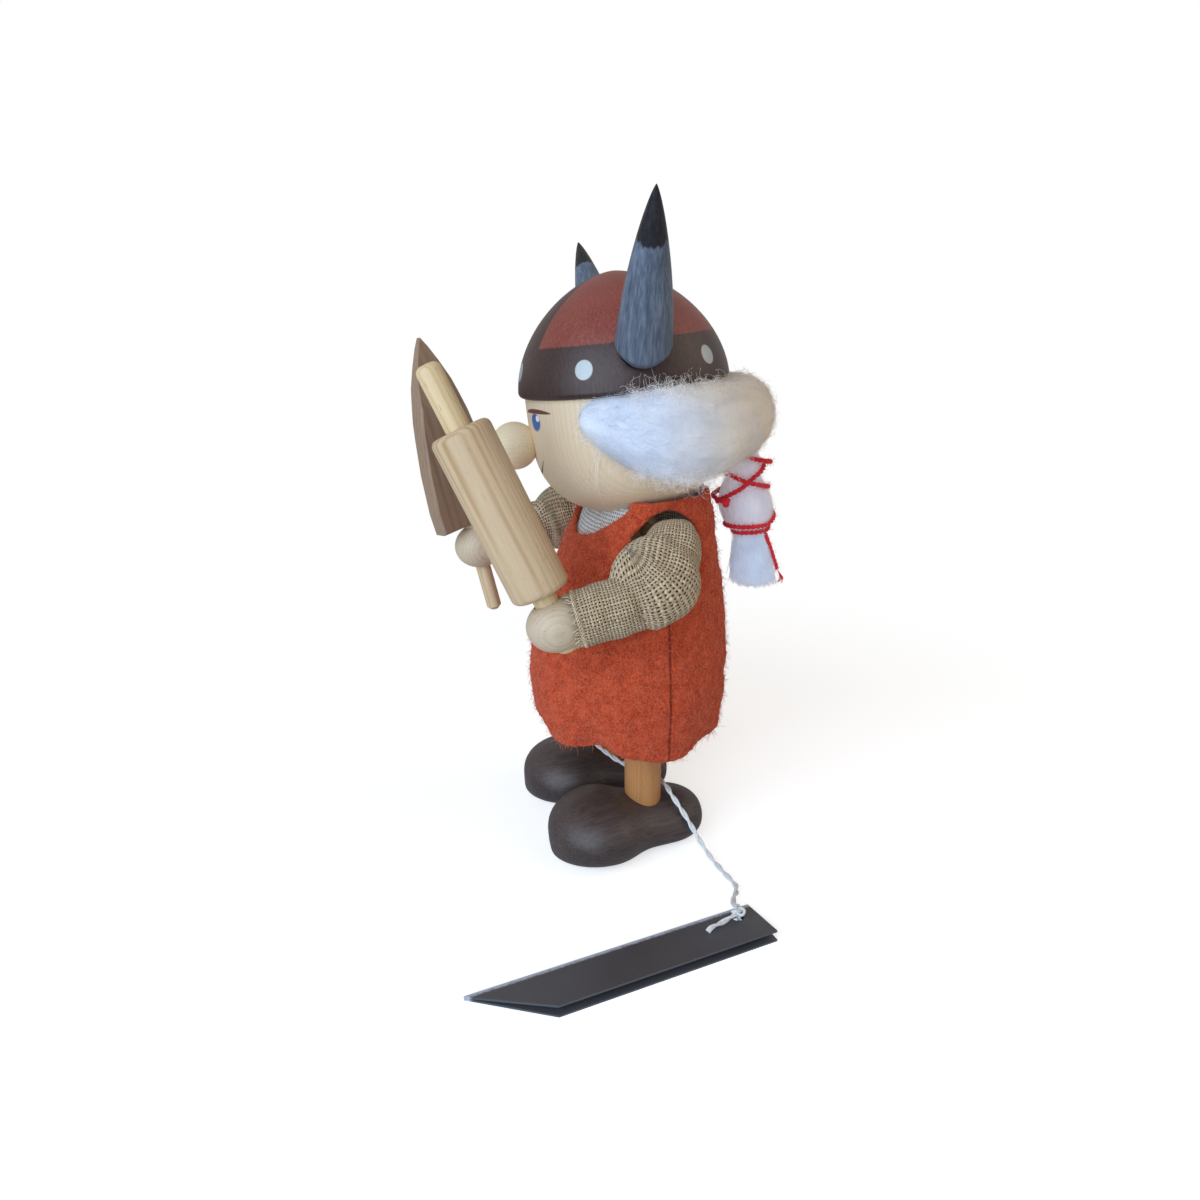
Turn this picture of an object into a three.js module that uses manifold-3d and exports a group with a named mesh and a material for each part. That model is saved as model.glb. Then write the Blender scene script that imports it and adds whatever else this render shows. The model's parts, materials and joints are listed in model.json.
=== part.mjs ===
// A turned wooden viking figurine: egg-shaped body on two dowel legs, a big tilted head with a horned
// helmet, wool hair in a braid bound with yarn, linen sleeves and a felt dress. One hand holds a rolling
// pin and the other a wooden sword. A folded card tag lies beside it on a twisted cotton string.
// Millimetres. The figure faces -Y, its left side is +X, and the floor is z = 0.
import * as THREE from 'three';
import { mergeVertices } from 'three/addons/utils/BufferGeometryUtils.js';
import Module from 'manifold-3d';

const wasm = await Module();
wasm.setup();

// Clearances
const GLUE_GAP = 0.3;          // between two glued wooden pieces, and between cloth and what it covers
const TURN_GAP = 0.4;          // round a dowel that something turns on
const WOOL_GAP = 0.35;         // between the wool and what it is glued to

// Facets round the turned pieces
const HEAD_SIDES = 28;
const TORSO_SIDES = 24;
const ARM_SIDES = 12;
const HAND_SIDES = 14;
const HORN_SIDES = 16;
const DOWEL_SIDES = 18;
const PEG_SIDES = 12;

// Legs and shoes
const LEG_RADIUS = 5;
const LEG_SPREAD = 14.2;       // from the middle of the body to the middle of a leg
const LEG_IN_SHOE = 7;
const LEG_IN_TORSO = 10;
const SHOE_TOE_OUT = 6.4;      // degrees that each shoe is turned outward
const TOE_RADIUS = 14.6;
const TOE_HEIGHT = 16.2;
const TOE_FORWARD = 12.6;      // from the leg to the middle of the toe bulb
const HEEL_RADIUS = 11.1;
const HEEL_HEIGHT = 12.4;
const HEEL_BACK = 6.4;
const WAIST_NARROWING = 1.6;   // how much the sole draws in between toe and heel

// Body
const TORSO_BOTTOM = 34;
const TORSO_BASE_RADIUS = 21;
const TORSO_BELLY_RADIUS = 23.6;
const TORSO_BELLY_Z = 47;
const TORSO_CHEST_RADIUS = 17.2;
const TORSO_CHEST_Z = 72;
const TORSO_NECK_RADIUS = 6.4;

// Head, in its own frame: the origin is the middle of the ring of dots, and z is the head's axis
const HEAD_HEIGHT = 128.3;     // of the dot ring's middle over the floor
const HEAD_TURN = -7.7;        // degrees, the way the figure stands: a little to its right
const HEAD_NOD = 5.5;          // degrees that the face tips down
const HEAD_OFF_AXIS = 1.1;
const BRIM_DROP = 6.6;         // from the dot ring down to the brim
const BRIM_RADIUS = 26.3;
const DOME_RISE = 26.9;          // from the brim to the top of the helmet
const HELMET_WALL = 4.2;
const DOME_BULGE = 1.85;
const DOME_POINT = 0.6;
const FACE_RADIUS = 24.8;
const FACE_DEPTH = 31.3;       // from the brim to the bottom of the chin
const FACE_FULLNESS = 4;
const NECK_RADIUS = 3;
const NECK_IN_TORSO = 14;
const NECK_IN_HEAD = 16;

// Nose and horns
const NOSE_RADIUS = 5.9;
const NOSE_DROP = 17.7;        // from the dot ring down to the nose
const NOSE_STANDS_OUT = 0.74;  // share of its radius that its middle stands off the face
const NOSE_PEG_RADIUS = 1.5;
const NOSE_PEG_DEPTH = 5;
const HORN_RADIUS = 6.4;
const HORN_LENGTH = 35.6;
const HORN_SEAT_RADIUS = 26.4; // from the head's axis to the middle of the horn's seat
const HORN_SEAT_RISE = 4.6;
const HORN_SEAT_BACK = 0.5;
const HORN_ANGLE = 48.7;       // degrees over the brim's plane
const HORN_FORWARD = 0.8;      // degrees that its tip leans to the front
const HORN_POCKET = 4.6;       // how deep the horn's foot sits in the helmet

// Hair and braid
const HAIR_TEMPLE = 118;       // degrees from the middle of the back to the temple
const HAIR_BACK_THICKNESS = 10;
const HAIR_BACK_RADIUS = 26;
const HAIR_HEIGHT = 12.4;
const HAIR_MIDDLE = -18.8;
const BRAID_DROP = 24.8;       // from the dot ring down to where the braid starts
const BRAID_TOP_BACK = 31;     // how far behind the neck's axis the braid starts
const BRAID_TO_BAND = 20.5;    // from its start down to where the yarn ties it off
const BRAID_LENGTH = 35.3;
const BRAID_LEAN = 5.2;        // how much further back it hangs at the bottom
const BRAID_RADIUS = 6.6;
const BRAID_TIED_RADIUS = 4.3;
const TASSEL_RADIUS = 6.8;
const YARN_RADIUS = 0.65;
const YARN_LIFT = 1.9;         // how much a crossing strand rides over the one below
const YARN_END_UP = 3.8;       // from the tassel's end up to the yarn's loose end
const YARN_TIE_TURNS = 2;
const YARN_RISE_TURNS = 1.5;
const YARN_TOP_TURNS = 0.4;
const YARN_FALL_TURNS = 1.6;
const YARN_START = 0.42 * Math.PI;
const YARN_SIDES = 5;

// Arms. Each hangs on a peg through the shoulder
const SHOULDER_OUT = 25;
const SHOULDER_BACK = 3;
const SHOULDER_DROP = 3.87;    // from the torso's top
const PEG_RADIUS = 1.8;
const PEG_FROM_NECK = 1.2;     // wood left between the neck dowel's hole and a shoulder peg's
const PEG_IN_ARM = 6;
const ARM_RADIUS = 5.7;
const WRIST_RADIUS = 5.6;
const HAND_RADIUS = 6.4;
const HAND_STRETCH = 1.16;     // the hand's length over its width
const SLEEVE_WALL = 0.9;
const CUFF_BACK = 4.6;         // from the middle of the hand back to the cuff
const SLEEVE_HOLE_RADIUS = 4.6;
const CROOK_RADIUS = 6.2;      // of the cloth where it spans the crook of the arm
const CROOK_ABOVE = 0.24;
const CROOK_BELOW = 0.5;
const LEFT_ELBOW = [8.4, -4.8, -8.5];      // each from its shoulder
const LEFT_HAND = [3.4, -29.1, -14.8];
const RIGHT_ELBOW = [-8.6, -14, -5.2];
const RIGHT_HAND = [-1, -37.8, -8.5];

// Rolling pin, in the left hand
const PIN_DIRECTION = [-0.175, -0.382, 0.907];
const ROLLER_RADIUS = 7;
const ROLLER_LENGTH = 40.4;
const ROLLER_OVER_HAND = 1.7;
const ROLLER_EDGE = 1.6;
const PIN_HANDLE_RADIUS = 2.9;
const PIN_HANDLE_ABOVE = 14.8;
const PIN_HANDLE_BELOW = 6.8;  // from the middle of the hand

// Sword, in the right hand
const SWORD_DIRECTION = [0, -0.205, 0.979];
const BLADE_LENGTH = 50.5;
const BLADE_THICKNESS = 5.2;
const BLADE_TURN = 27;         // degrees that the flat side is turned toward the back
const BLADE_TANG = 7;
const TANG_RADIUS = 1.2;
const BLADE_SOFTENING = 0.6;
const BLADE_TIP_THICKNESS = 1.4;
const BLADE_TIP_FROM = 0.66;   // share of the length where it starts to thin
const BLADE_OUTLINE = [        // share of the length, half width
  [0, 10.4], [0.12, 10.6], [0.33, 9.8], [0.5, 8.5], [0.6, 7.6], [0.69, 6.4], [0.77, 5.2], [0.87, 3.3],
  [0.95, 1.5],
];
const SWORD_HANDLE_RADIUS = 2.1;
const SWORD_HANDLE_BELOW = 20;
const SWORD_FORWARD = 1;       // of the middle of the hand

// Felt dress and linen shirt: how far each stands out to the side, front and back at a height
const FELT = 1.5;
const LINEN = 0.9;
const HEM = 30;
const HEM_WAVES = 5;
const HEM_WAVE_DEPTH = 1.1;
const HEM_WAVE_DROP = 0.5;
const HEM_BACK_DROP = 2.6;
const DRESS_OVER_TORSO = 5.53;
const DRESS_SHAPE = [          // share of its height, side, front, back
  [0, 24.6, 24.8, 25.8],
  [0.092, 25.8, 26.5, 27],
  [0.229, 26.6, 26.9, 27.5],
  [0.398, 26, 25.6, 27.4],
  [0.55, 24.9, 22.6, 26.6],
  [0.703, 23.8, 19, 25],
  [0.81, 23.2, 15.2, 23.7],
  [0.887, 22.4, 12.6, 23.2],
  [0.94, 22, 10.8, 22.6],
  [1, 20.8, 9.4, 21.8],
];
const ARMHOLE_HALF_WIDTH = 9.4;
const ARMHOLE_FORWARD = -0.6;  // of the shoulder peg's axis
const ARMHOLE_ABOVE = 7.4;     // the shoulder peg's axis
const ARMHOLE_BELOW = 13.4;
const NECK_OPENING_SIDE = 18.9;
const NECK_OPENING_FRONT = 8.5;
const NECK_OPENING_BACK = 19.4;
const SHIRT_COLLAR_IN = 1.6;   // how far the shirt's collar shows inside the dress's
const NECKLINE_DROP = 10;      // from the dress's top
const NECKLINE_HALF_WIDTH = 3.8;
const SHIRT_LENGTH = 27.5;
const CLOTH_BELOW = 7;         // how far a cutter runs out past an edge

// Tag and its string
const TAG_LENGTH = 71;
const TAG_WIDTH = 12.4;
const TAG_CARD = 0.5;
const TAG_CLIP = 17;           // how much of the long edge the slanted corner takes
const TAG_HOLE_RADIUS = 1.5;
const TAG_HOLE_IN = 5;         // from the short edge
const TAG_HOLE_DOWN = 3.4;     // from the fold
const TAG_PLACE = [58.5, -56.5];
const TAG_TURN = 6;            // degrees from the Y axis
const TAG_OPENING = 9;         // degrees between the two leaves
const STRING_RADIUS = 0.7;
const STRING_LOOP_HEIGHT = 16.6;
const STRING_ROUTE = [
  [-7.6, -4.6, 15.9], [-1, -2.4, 15.7], [5, 1.2, 15.4], [9.6, 5.2, 14.9], [14, 6.8, 14.5], [17.6, 7, 13.8],
  [20.8, 7.8, 12.2],
  [24.2, 9.6, 8.6], [26.8, 11.4, 4.6], [31.5, 12.9, 1.5], [37.6, 13.8, 0.85], [44, 14.4, 0.85],
];

const radians = THREE.MathUtils.degToRad;
const UP = new THREE.Vector3(0, 0, 1);
const point = (p) => new THREE.Vector3(p[0], p[1], p[2]);

const tagPlace = new THREE.Matrix4().makeRotationZ(radians(90 + TAG_TURN))
  .setPosition(TAG_PLACE[0], TAG_PLACE[1], 0);
const legFoot = 0.5 * (TOE_HEIGHT + HEEL_HEIGHT) - LEG_IN_SHOE;
const faceBottom = HEAD_HEIGHT - (BRIM_DROP + FACE_DEPTH) * Math.cos(THREE.MathUtils.degToRad(HEAD_NOD));
const torsoTop = faceBottom - GLUE_GAP - TURN_GAP;
const shoulderHeight = torsoTop - SHOULDER_DROP;
const dressTop = torsoTop + DRESS_OVER_TORSO;
const necklineZ = dressTop - NECKLINE_DROP;
const braidTop = HEAD_HEIGHT - BRAID_DROP;
const braidBand = braidTop - BRAID_TO_BAND;
const braidBottom = braidTop - BRAID_LENGTH;
const pegInner = NECK_RADIUS + GLUE_GAP + PEG_FROM_NECK;

// A solid that can be cut or joined, from any closed geometry
function solid(geometry) {
  const bare = geometry.clone();
  bare.deleteAttribute('normal');
  bare.deleteAttribute('uv');
  const merged = mergeVertices(bare, 1e-4);
  const corners = merged.index.array;
  const faces = [];
  for (let i = 0; i < corners.length; i += 3) {
    const [a, b, c] = [corners[i], corners[i + 1], corners[i + 2]];
    if (a !== b && b !== c && c !== a) faces.push(a, b, c);
  }
  return new wasm.Manifold(new wasm.Mesh({
    numProp: 3,
    vertProperties: new Float32Array(merged.attributes.position.array),
    triVerts: new Uint32Array(faces),
  }));
}

// The same solid as a geometry again
function geometryOf(body) {
  const m = body.getMesh();
  const geometry = new THREE.BufferGeometry();
  geometry.setAttribute('position', new THREE.BufferAttribute(new Float32Array(m.vertProperties), 3));
  geometry.setIndex(new THREE.BufferAttribute(new Uint32Array(m.triVerts), 1));
  return geometry;
}

function mesh(name, body, material) {
  const made = new THREE.Mesh(geometryOf(body), material);
  made.name = name;
  return made;
}

// A turned piece about the Z axis from [radius, z] pairs that start and end on the axis
function turned(profile, segments) {
  const outline = profile.map(([r, z]) => new THREE.Vector2(r, z));
  const geometry = new THREE.LatheGeometry(outline, segments);
  geometry.rotateX(Math.PI / 2);
  return solid(geometry);
}

// A skin through closed rings of points, closed by a flat fan at each end
function lofted(rings) {
  const count = rings[0].length;
  const places = rings.flat().flatMap((p) => [p.x, p.y, p.z]);
  const faces = [];
  for (let k = 0; k + 1 < rings.length; k += 1) {
    for (let j = 0; j < count; j += 1) {
      const next = (j + 1) % count;
      const [a, b] = [k * count + j, k * count + next];
      const [c, d] = [a + count, b + count];
      faces.push(a, b, d, a, d, c);
    }
  }
  for (const [ring, flip] of [[0, true], [rings.length - 1, false]]) {
    const middle = rings[ring].reduce((sum, p) => sum.add(p), new THREE.Vector3()).divideScalar(count);
    const hub = places.length / 3;
    places.push(middle.x, middle.y, middle.z);
    for (let j = 0; j < count; j += 1) {
      const [a, b] = [ring * count + j, ring * count + (j + 1) % count];
      faces.push(...(flip ? [b, a, hub] : [a, b, hub]));
    }
  }
  const geometry = new THREE.BufferGeometry();
  geometry.setAttribute('position', new THREE.BufferAttribute(new Float32Array(places), 3));
  geometry.setIndex(faces);
  return solid(geometry);
}

// A straight rod or cone between two points, longer at each end by the extras
function rod(from, to, fromRadius, toRadius, segments, before = 0, after = 0) {
  const line = to.clone().sub(from);
  const length = line.length() + before + after;
  const geometry = new THREE.CylinderGeometry(toRadius, fromRadius, length, segments);
  geometry.rotateX(Math.PI / 2);
  geometry.translate(0, 0, length / 2 - before);
  geometry.applyQuaternion(new THREE.Quaternion().setFromUnitVectors(UP, line.normalize()));
  geometry.translate(from.x, from.y, from.z);
  return solid(geometry);
}

function ball(centre, radius, across, down) {
  const geometry = new THREE.SphereGeometry(radius, across, down);
  geometry.rotateX(Math.PI / 2);
  geometry.translate(centre.x, centre.y, centre.z);
  return solid(geometry);
}

function moved(body, matrix) {
  return solid(geometryOf(body).applyMatrix4(matrix));
}

function box(low, high) {
  const size = high.clone().sub(low);
  const geometry = new THREE.BoxGeometry(size.x, size.y, size.z);
  const middle = low.clone().add(high).multiplyScalar(0.5);
  geometry.translate(middle.x, middle.y, middle.z);
  return solid(geometry);
}

// Materials, in the colours of the pieces
const paint = (color, roughness) => new THREE.MeshStandardMaterial({ color, roughness, metalness: 0 });
const paleWood = paint(0xe4c9a4, 0.45);
const pineWood = paint(0xe0bd86, 0.6);
const legWood = paint(0xb98550, 0.55);
const darkStain = paint(0x2e2321, 0.5);
const helmetStain = paint(0x5a2c28, 0.4);
const hornStain = paint(0x7d858c, 0.5);
const walnut = paint(0x8a5c42, 0.6);
const felt = paint(0xb9411f, 0.95);
const linen = paint(0xc2ad8c, 0.9);
const wool = paint(0xf0edec, 1);
const yarn = paint(0xc41226, 0.9);
const card = paint(0x77767a, 0.6);
const cotton = paint(0xe6e8ec, 0.9);

// Shoe: a bean with a flat sole, a tall round toe bulb and a lower heel, drilled for the leg
function shoe(side) {
  const rings = [];
  const lengthSteps = 13;
  const aroundSteps = 18;
  const front = -(TOE_FORWARD + TOE_RADIUS);
  const back = HEEL_BACK + HEEL_RADIUS;
  const bulb = (y, centre, radius) => Math.sqrt(Math.max(0, 1 - ((y - centre) / radius) ** 2));
  for (let k = 0; k <= lengthSteps; k += 1) {
    const along = 0.5 - 0.5 * Math.cos(Math.PI * (0.02 + 0.96 * k / lengthSteps));
    const y = front + (back - front) * along;
    const blend = THREE.MathUtils.smoothstep(y, -TOE_FORWARD, HEEL_BACK);
    const waist = WAIST_NARROWING * Math.sin(Math.PI * blend);
    const toe = bulb(Math.min(y, -TOE_FORWARD), -TOE_FORWARD, TOE_RADIUS);
    const heel = bulb(Math.max(y, HEEL_BACK), HEEL_BACK, HEEL_RADIUS);
    const halfWidth = (TOE_RADIUS * (1 - blend) + HEEL_RADIUS * blend - waist) * toe * heel;
    const height = (TOE_HEIGHT * (1 - blend) + HEEL_HEIGHT * blend - 0.5 * waist) * (toe * heel) ** 0.8;
    const widest = 0.4 * (TOE_HEIGHT * (1 - blend) + HEEL_HEIGHT * blend);
    const ring = [];
    for (let j = 0; j < aroundSteps; j += 1) {
      const angle = 2 * Math.PI * j / aroundSteps;
      const rise = Math.sin(angle);
      const under = 1.25 * (toe * heel) ** 0.35;
      const above = rise * (height - widest * (toe * heel) ** 0.8);
      const z = rise > 0 ? widest + above : widest * (1 + under * rise);
      ring.push(new THREE.Vector3(halfWidth * Math.cos(angle), y, Math.max(z, -1.5)));
    }
    rings.push(ring);
  }
  const sole = box(new THREE.Vector3(-40, -60, -20), new THREE.Vector3(40, 60, 0));
  const footTurn = new THREE.Matrix4().makeRotationZ(side * radians(SHOE_TOE_OUT));
  const body = moved(lofted(rings.reverse()).subtract(sole), footTurn);
  const legHole = rod(new THREE.Vector3(0, 0, legFoot - GLUE_GAP), new THREE.Vector3(0, 0, 40),
    LEG_RADIUS + GLUE_GAP, LEG_RADIUS + GLUE_GAP, DOWEL_SIDES);
  return body.subtract(legHole);
}

function leg() {
  const edge = 0.5;
  const top = TORSO_BOTTOM + LEG_IN_TORSO;
  return turned([[0, legFoot], [LEG_RADIUS - edge, legFoot], [LEG_RADIUS, legFoot + edge],
    [LEG_RADIUS, top - edge], [LEG_RADIUS - edge, top], [0, top]], DOWEL_SIDES);
}

// Torso: one turned egg with a flat base and a small flat neck, drilled for legs, neck dowel and pegs
function torsoRadius(z) {
  const curve = new THREE.SplineCurve([
    new THREE.Vector2(TORSO_BOTTOM, TORSO_BASE_RADIUS),
    new THREE.Vector2(0.45 * TORSO_BOTTOM + 0.55 * TORSO_BELLY_Z,
      0.12 * TORSO_BASE_RADIUS + 0.88 * TORSO_BELLY_RADIUS),
    new THREE.Vector2(TORSO_BELLY_Z, TORSO_BELLY_RADIUS),
    new THREE.Vector2(TORSO_CHEST_Z, TORSO_CHEST_RADIUS),
    new THREE.Vector2(torsoTop, TORSO_NECK_RADIUS),
  ]);
  let [low, high] = [0, 1];
  for (let i = 0; i < 30; i += 1) {
    const half = 0.5 * (low + high);
    if (curve.getPoint(half).x < z) low = half; else high = half;
  }
  return curve.getPoint(low).y;
}

function torso() {
  const profile = [[0, TORSO_BOTTOM]];
  const steps = 10;
  for (let k = 0; k <= steps; k += 1) {
    const z = TORSO_BOTTOM + (torsoTop - TORSO_BOTTOM) * k / steps;
    profile.push([torsoRadius(z), z]);
  }
  profile.push([0, torsoTop]);
  let body = turned(profile, TORSO_SIDES);
  for (const side of [-1, 1]) {
    const foot = new THREE.Vector3(side * LEG_SPREAD, 0, 0);
    const head = new THREE.Vector3(side * LEG_SPREAD, 0, TORSO_BOTTOM + LEG_IN_TORSO + GLUE_GAP);
    body = body.subtract(rod(foot, head, LEG_RADIUS + GLUE_GAP, LEG_RADIUS + GLUE_GAP, DOWEL_SIDES));
    const inner = new THREE.Vector3(side * (pegInner - GLUE_GAP), SHOULDER_BACK, shoulderHeight);
    const outer = new THREE.Vector3(side * 40, SHOULDER_BACK, shoulderHeight);
    body = body.subtract(rod(inner, outer, PEG_RADIUS + GLUE_GAP, PEG_RADIUS + GLUE_GAP, PEG_SIDES));
  }
  const neckFoot = new THREE.Vector3(0, 0, torsoTop - NECK_IN_TORSO - GLUE_GAP);
  return body.subtract(rod(neckFoot, new THREE.Vector3(0, 0, torsoTop + 5),
    NECK_RADIUS + GLUE_GAP, NECK_RADIUS + GLUE_GAP, DOWEL_SIDES));
}

// Head: the face is a turned egg, and above the brim a plain spigot fills the helmet
function faceRadius(down) {
  return FACE_RADIUS * Math.sqrt(Math.max(0, 1 - (down / FACE_DEPTH) ** FACE_FULLNESS));
}

const spigotRadius = BRIM_RADIUS - HELMET_WALL;
const domeRadius = (rise) => BRIM_RADIUS * Math.max(0, 1 - (rise / DOME_RISE) ** DOME_BULGE) ** DOME_POINT;

function headTopProfile(shrink) {
  const steps = 5;
  const profile = [];
  for (let k = 0; k <= steps; k += 1) {
    const turn = 0.5 * Math.PI * k / steps;
    const radius = (spigotRadius - shrink) * Math.cos(turn) ** 0.9;
    const rise = (DOME_RISE - HELMET_WALL - shrink) * Math.sin(turn);
    profile.push([k === steps ? 0 : radius, rise - BRIM_DROP]);
  }
  return profile;
}

function faceProfile(grow) {
  const steps = 12;
  const profile = [];
  for (let k = 0; k <= steps; k += 1) {
    const turn = 0.5 * Math.PI * k / steps;
    const down = FACE_DEPTH * Math.cos(turn);
    const radius = k === 0 ? 0 : faceRadius(down) + grow;
    profile.push([radius, -BRIM_DROP - down - (k === 0 ? grow : 0)]);
  }
  return profile;
}

const headTilt = new THREE.Matrix4().makeRotationX(radians(HEAD_NOD))
  .setPosition(0, -HEAD_OFF_AXIS, HEAD_HEIGHT);
const headTiltInverse = headTilt.clone().invert();

const noseForward = faceRadius(NOSE_DROP - BRIM_DROP) + NOSE_STANDS_OUT * NOSE_RADIUS;
const nosePlace = new THREE.Vector3(0, -noseForward, -NOSE_DROP);

function faceEgg(grow) {
  return turned([...faceProfile(grow), [0, -BRIM_DROP]], HEAD_SIDES);
}

function head() {
  const spigot = headTopProfile(GLUE_GAP);
  let body = turned([...faceProfile(0), ...spigot], HEAD_SIDES);
  const neckBottom = new THREE.Vector3(0, 0, torsoTop - 5).applyMatrix4(headTiltInverse);
  const neckTop = new THREE.Vector3(0, 0, neckTopZ + TURN_GAP).applyMatrix4(headTiltInverse);
  body = body.subtract(rod(neckBottom, neckTop, NECK_RADIUS + TURN_GAP, NECK_RADIUS + TURN_GAP, DOWEL_SIDES));
  const pegOuter = nosePlace.clone();
  const pegEnd = nosePlace.clone()
    .setY(nosePlace.y + NOSE_STANDS_OUT * NOSE_RADIUS + NOSE_PEG_DEPTH + GLUE_GAP);
  const pegBore = NOSE_PEG_RADIUS + GLUE_GAP;
  body = body.subtract(rod(pegOuter, pegEnd, pegBore, pegBore, PEG_SIDES));
  for (const side of [-1, 1]) {
    body = body.subtract(moved(hornBody(GLUE_GAP), hornPlace(side)));
  }
  return body;
}
const neckTopZ = HEAD_HEIGHT - BRIM_DROP - FACE_DEPTH + NECK_IN_HEAD;

function nose() {
  const pegEnd = nosePlace.clone().setY(nosePlace.y + NOSE_STANDS_OUT * NOSE_RADIUS + NOSE_PEG_DEPTH);
  const peg = rod(nosePlace, pegEnd,
    NOSE_PEG_RADIUS, NOSE_PEG_RADIUS, PEG_SIDES);
  return ball(nosePlace, NOSE_RADIUS, 16, 10).subtract(faceEgg(GLUE_GAP)).add(peg);
}

// Helmet: a turned cap with a rounded brim, hollowed for the head and drilled for the horns
function helmetProfile(grow) {
  const edge = 1.3;
  const steps = 9;
  const profile = [];
  for (let k = 0; k <= 3; k += 1) {
    const turn = 0.5 * Math.PI * k / 3;
    profile.push([BRIM_RADIUS - edge + (edge + grow) * Math.sin(turn),
      edge - (edge + grow) * Math.cos(turn) - BRIM_DROP]);
  }
  for (let k = 1; k <= steps; k += 1) {
    const rise = DOME_RISE * Math.sin(0.5 * Math.PI * k / steps) ** 1.08;
    if (rise > edge + 0.4) {
      profile.push([k === steps ? 0 : domeRadius(rise) + grow, rise - BRIM_DROP + (k === steps ? grow : 0)]);
    }
  }
  return profile;
}

function helmetCap(grow) {
  return turned([[0, -BRIM_DROP - grow], ...helmetProfile(grow)], HEAD_SIDES);
}

function helmet() {
  const below = -BRIM_DROP - 4;
  const hollow = turned([[0, below], [spigotRadius, below], ...headTopProfile(0)], HEAD_SIDES);
  let body = helmetCap(0).subtract(hollow);
  for (const side of [-1, 1]) {
    body = body.subtract(moved(hornBody(GLUE_GAP), hornPlace(side)));
  }
  return body;
}

// Horn: a turned spike with a rounded foot, along its own Z axis from the middle of its seat
function hornBody(grow) {
  const profile = [[0, -HORN_POCKET - grow]];
  const steps = 9;
  for (let k = 0; k <= steps; k += 1) {
    const along = k / steps;
    const foot = Math.sqrt(Math.min(1, 0.35 + along / 0.14));
    const radius = k === steps ? 0 : HORN_RADIUS * foot * (1 - along ** 1.6) ** 0.8 + grow;
    const ends = (k === 0 ? -grow : 0) + (k === steps ? grow : 0);
    const z = -HORN_POCKET + (HORN_LENGTH + HORN_POCKET) * along + ends;
    profile.push([radius, z]);
  }
  return turned(profile, HORN_SIDES);
}

function hornPlace(side) {
  const seat = new THREE.Vector3(side * HORN_SEAT_RADIUS, HORN_SEAT_BACK, HORN_SEAT_RISE);
  const lean = new THREE.Matrix4().makeRotationY(side * radians(90 - HORN_ANGLE));
  return lean.multiply(new THREE.Matrix4().makeRotationX(radians(HORN_FORWARD))).setPosition(seat);
}

// Hair: a thick band of wool from temple to temple round the back of the head
function hair() {
  const rings = [];
  const steps = 18;
  const around = 12;
  for (let k = 0; k <= steps; k += 1) {
    const share = -1 + 2 * k / steps;
    const angle = radians(HAIR_TEMPLE) * share;
    const fade = Math.sqrt(Math.max(0, 1 - Math.abs(share) ** 4.4));
    const back = Math.cos(0.5 * Math.PI * Math.abs(share));
    const thick = (0.62 + 0.38 * back) * HAIR_BACK_THICKNESS * (0.12 + 0.88 * fade);
    const half = HAIR_HEIGHT * (0.3 + 0.7 * fade);
    const radius = HAIR_BACK_RADIUS - 2.2 * (1 - back) - 2.4 * (1 - fade);
    const middle = HAIR_MIDDLE - 0.6 * (1 - back) + 2.4 * (1 - fade);
    const ring = [];
    for (let j = 0; j < around; j += 1) {
      const turn = 2 * Math.PI * j / around;
      const out = radius + thick * Math.cos(turn);
      const z = middle + half * Math.sin(turn);
      ring.push(new THREE.Vector3(out * Math.sin(angle), out * Math.cos(angle), z));
    }
    rings.push(ring);
  }
  const body = lofted(rings);
  const cap = helmetCap(WOOL_GAP);
  const faceWithGap = faceEgg(WOOL_GAP);
  const tiedBraid = moved(braidBody(2 * (YARN_RADIUS + WOOL_GAP)), headTiltInverse);
  return body.subtract(cap).subtract(faceWithGap).subtract(tiedBraid);
}

// Braid: a hank of wool tied into two bulbs over a loose tassel
const braidShare = (z) => (braidTop - z) / (braidTop - braidBottom);
const braidBack = (z) => BRAID_TOP_BACK + BRAID_LEAN * braidShare(z);

function braidRadius(z) {
  const upper = braidTop - 0.28 * (braidTop - braidBand);
  if (z > upper) {
    const share = (z - upper) / (braidTop - upper);
    return BRAID_RADIUS * (0.86 + 0.1 * Math.sin(Math.PI * share) - 0.1 * share);
  }
  if (z > braidBand) {
    const share = (z - braidBand) / (upper - braidBand);
    const tied = BRAID_TIED_RADIUS * (1 - share) + 0.86 * BRAID_RADIUS * share;
    return tied + (BRAID_RADIUS - 0.5 * (tied + BRAID_TIED_RADIUS)) * Math.sin(Math.PI * share ** 0.85);
  }
  const share = (braidBand - z) / (braidBand - braidBottom);
  return BRAID_TIED_RADIUS + (TASSEL_RADIUS - BRAID_TIED_RADIUS) * Math.sin(0.5 * Math.PI * share) ** 0.8;
}

function braidBody(grow) {
  const rings = [];
  const [below, above] = [6, 11];
  const around = 18;
  const flutes = 9;
  for (let k = -below; k <= above; k += 1) {
    const step = k < 0 ? (braidBand - braidBottom) / below : (braidTop - braidBand) / above;
    const z = braidBand + step * k;
    const radius = braidRadius(z) + grow;
    const loose = Math.max(0, braidBand - z) / (braidBand - braidBottom);
    const ring = [];
    for (let j = 0; j < around; j += 1) {
      const turn = 2 * Math.PI * j / around;
      const out = radius * (1 + 0.05 * loose * Math.cos(flutes * turn));
      ring.push(new THREE.Vector3(out * Math.cos(turn), braidBack(z) + out * Math.sin(turn), z));
    }
    rings.push(ring);
  }
  return lofted(rings);
}

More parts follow.
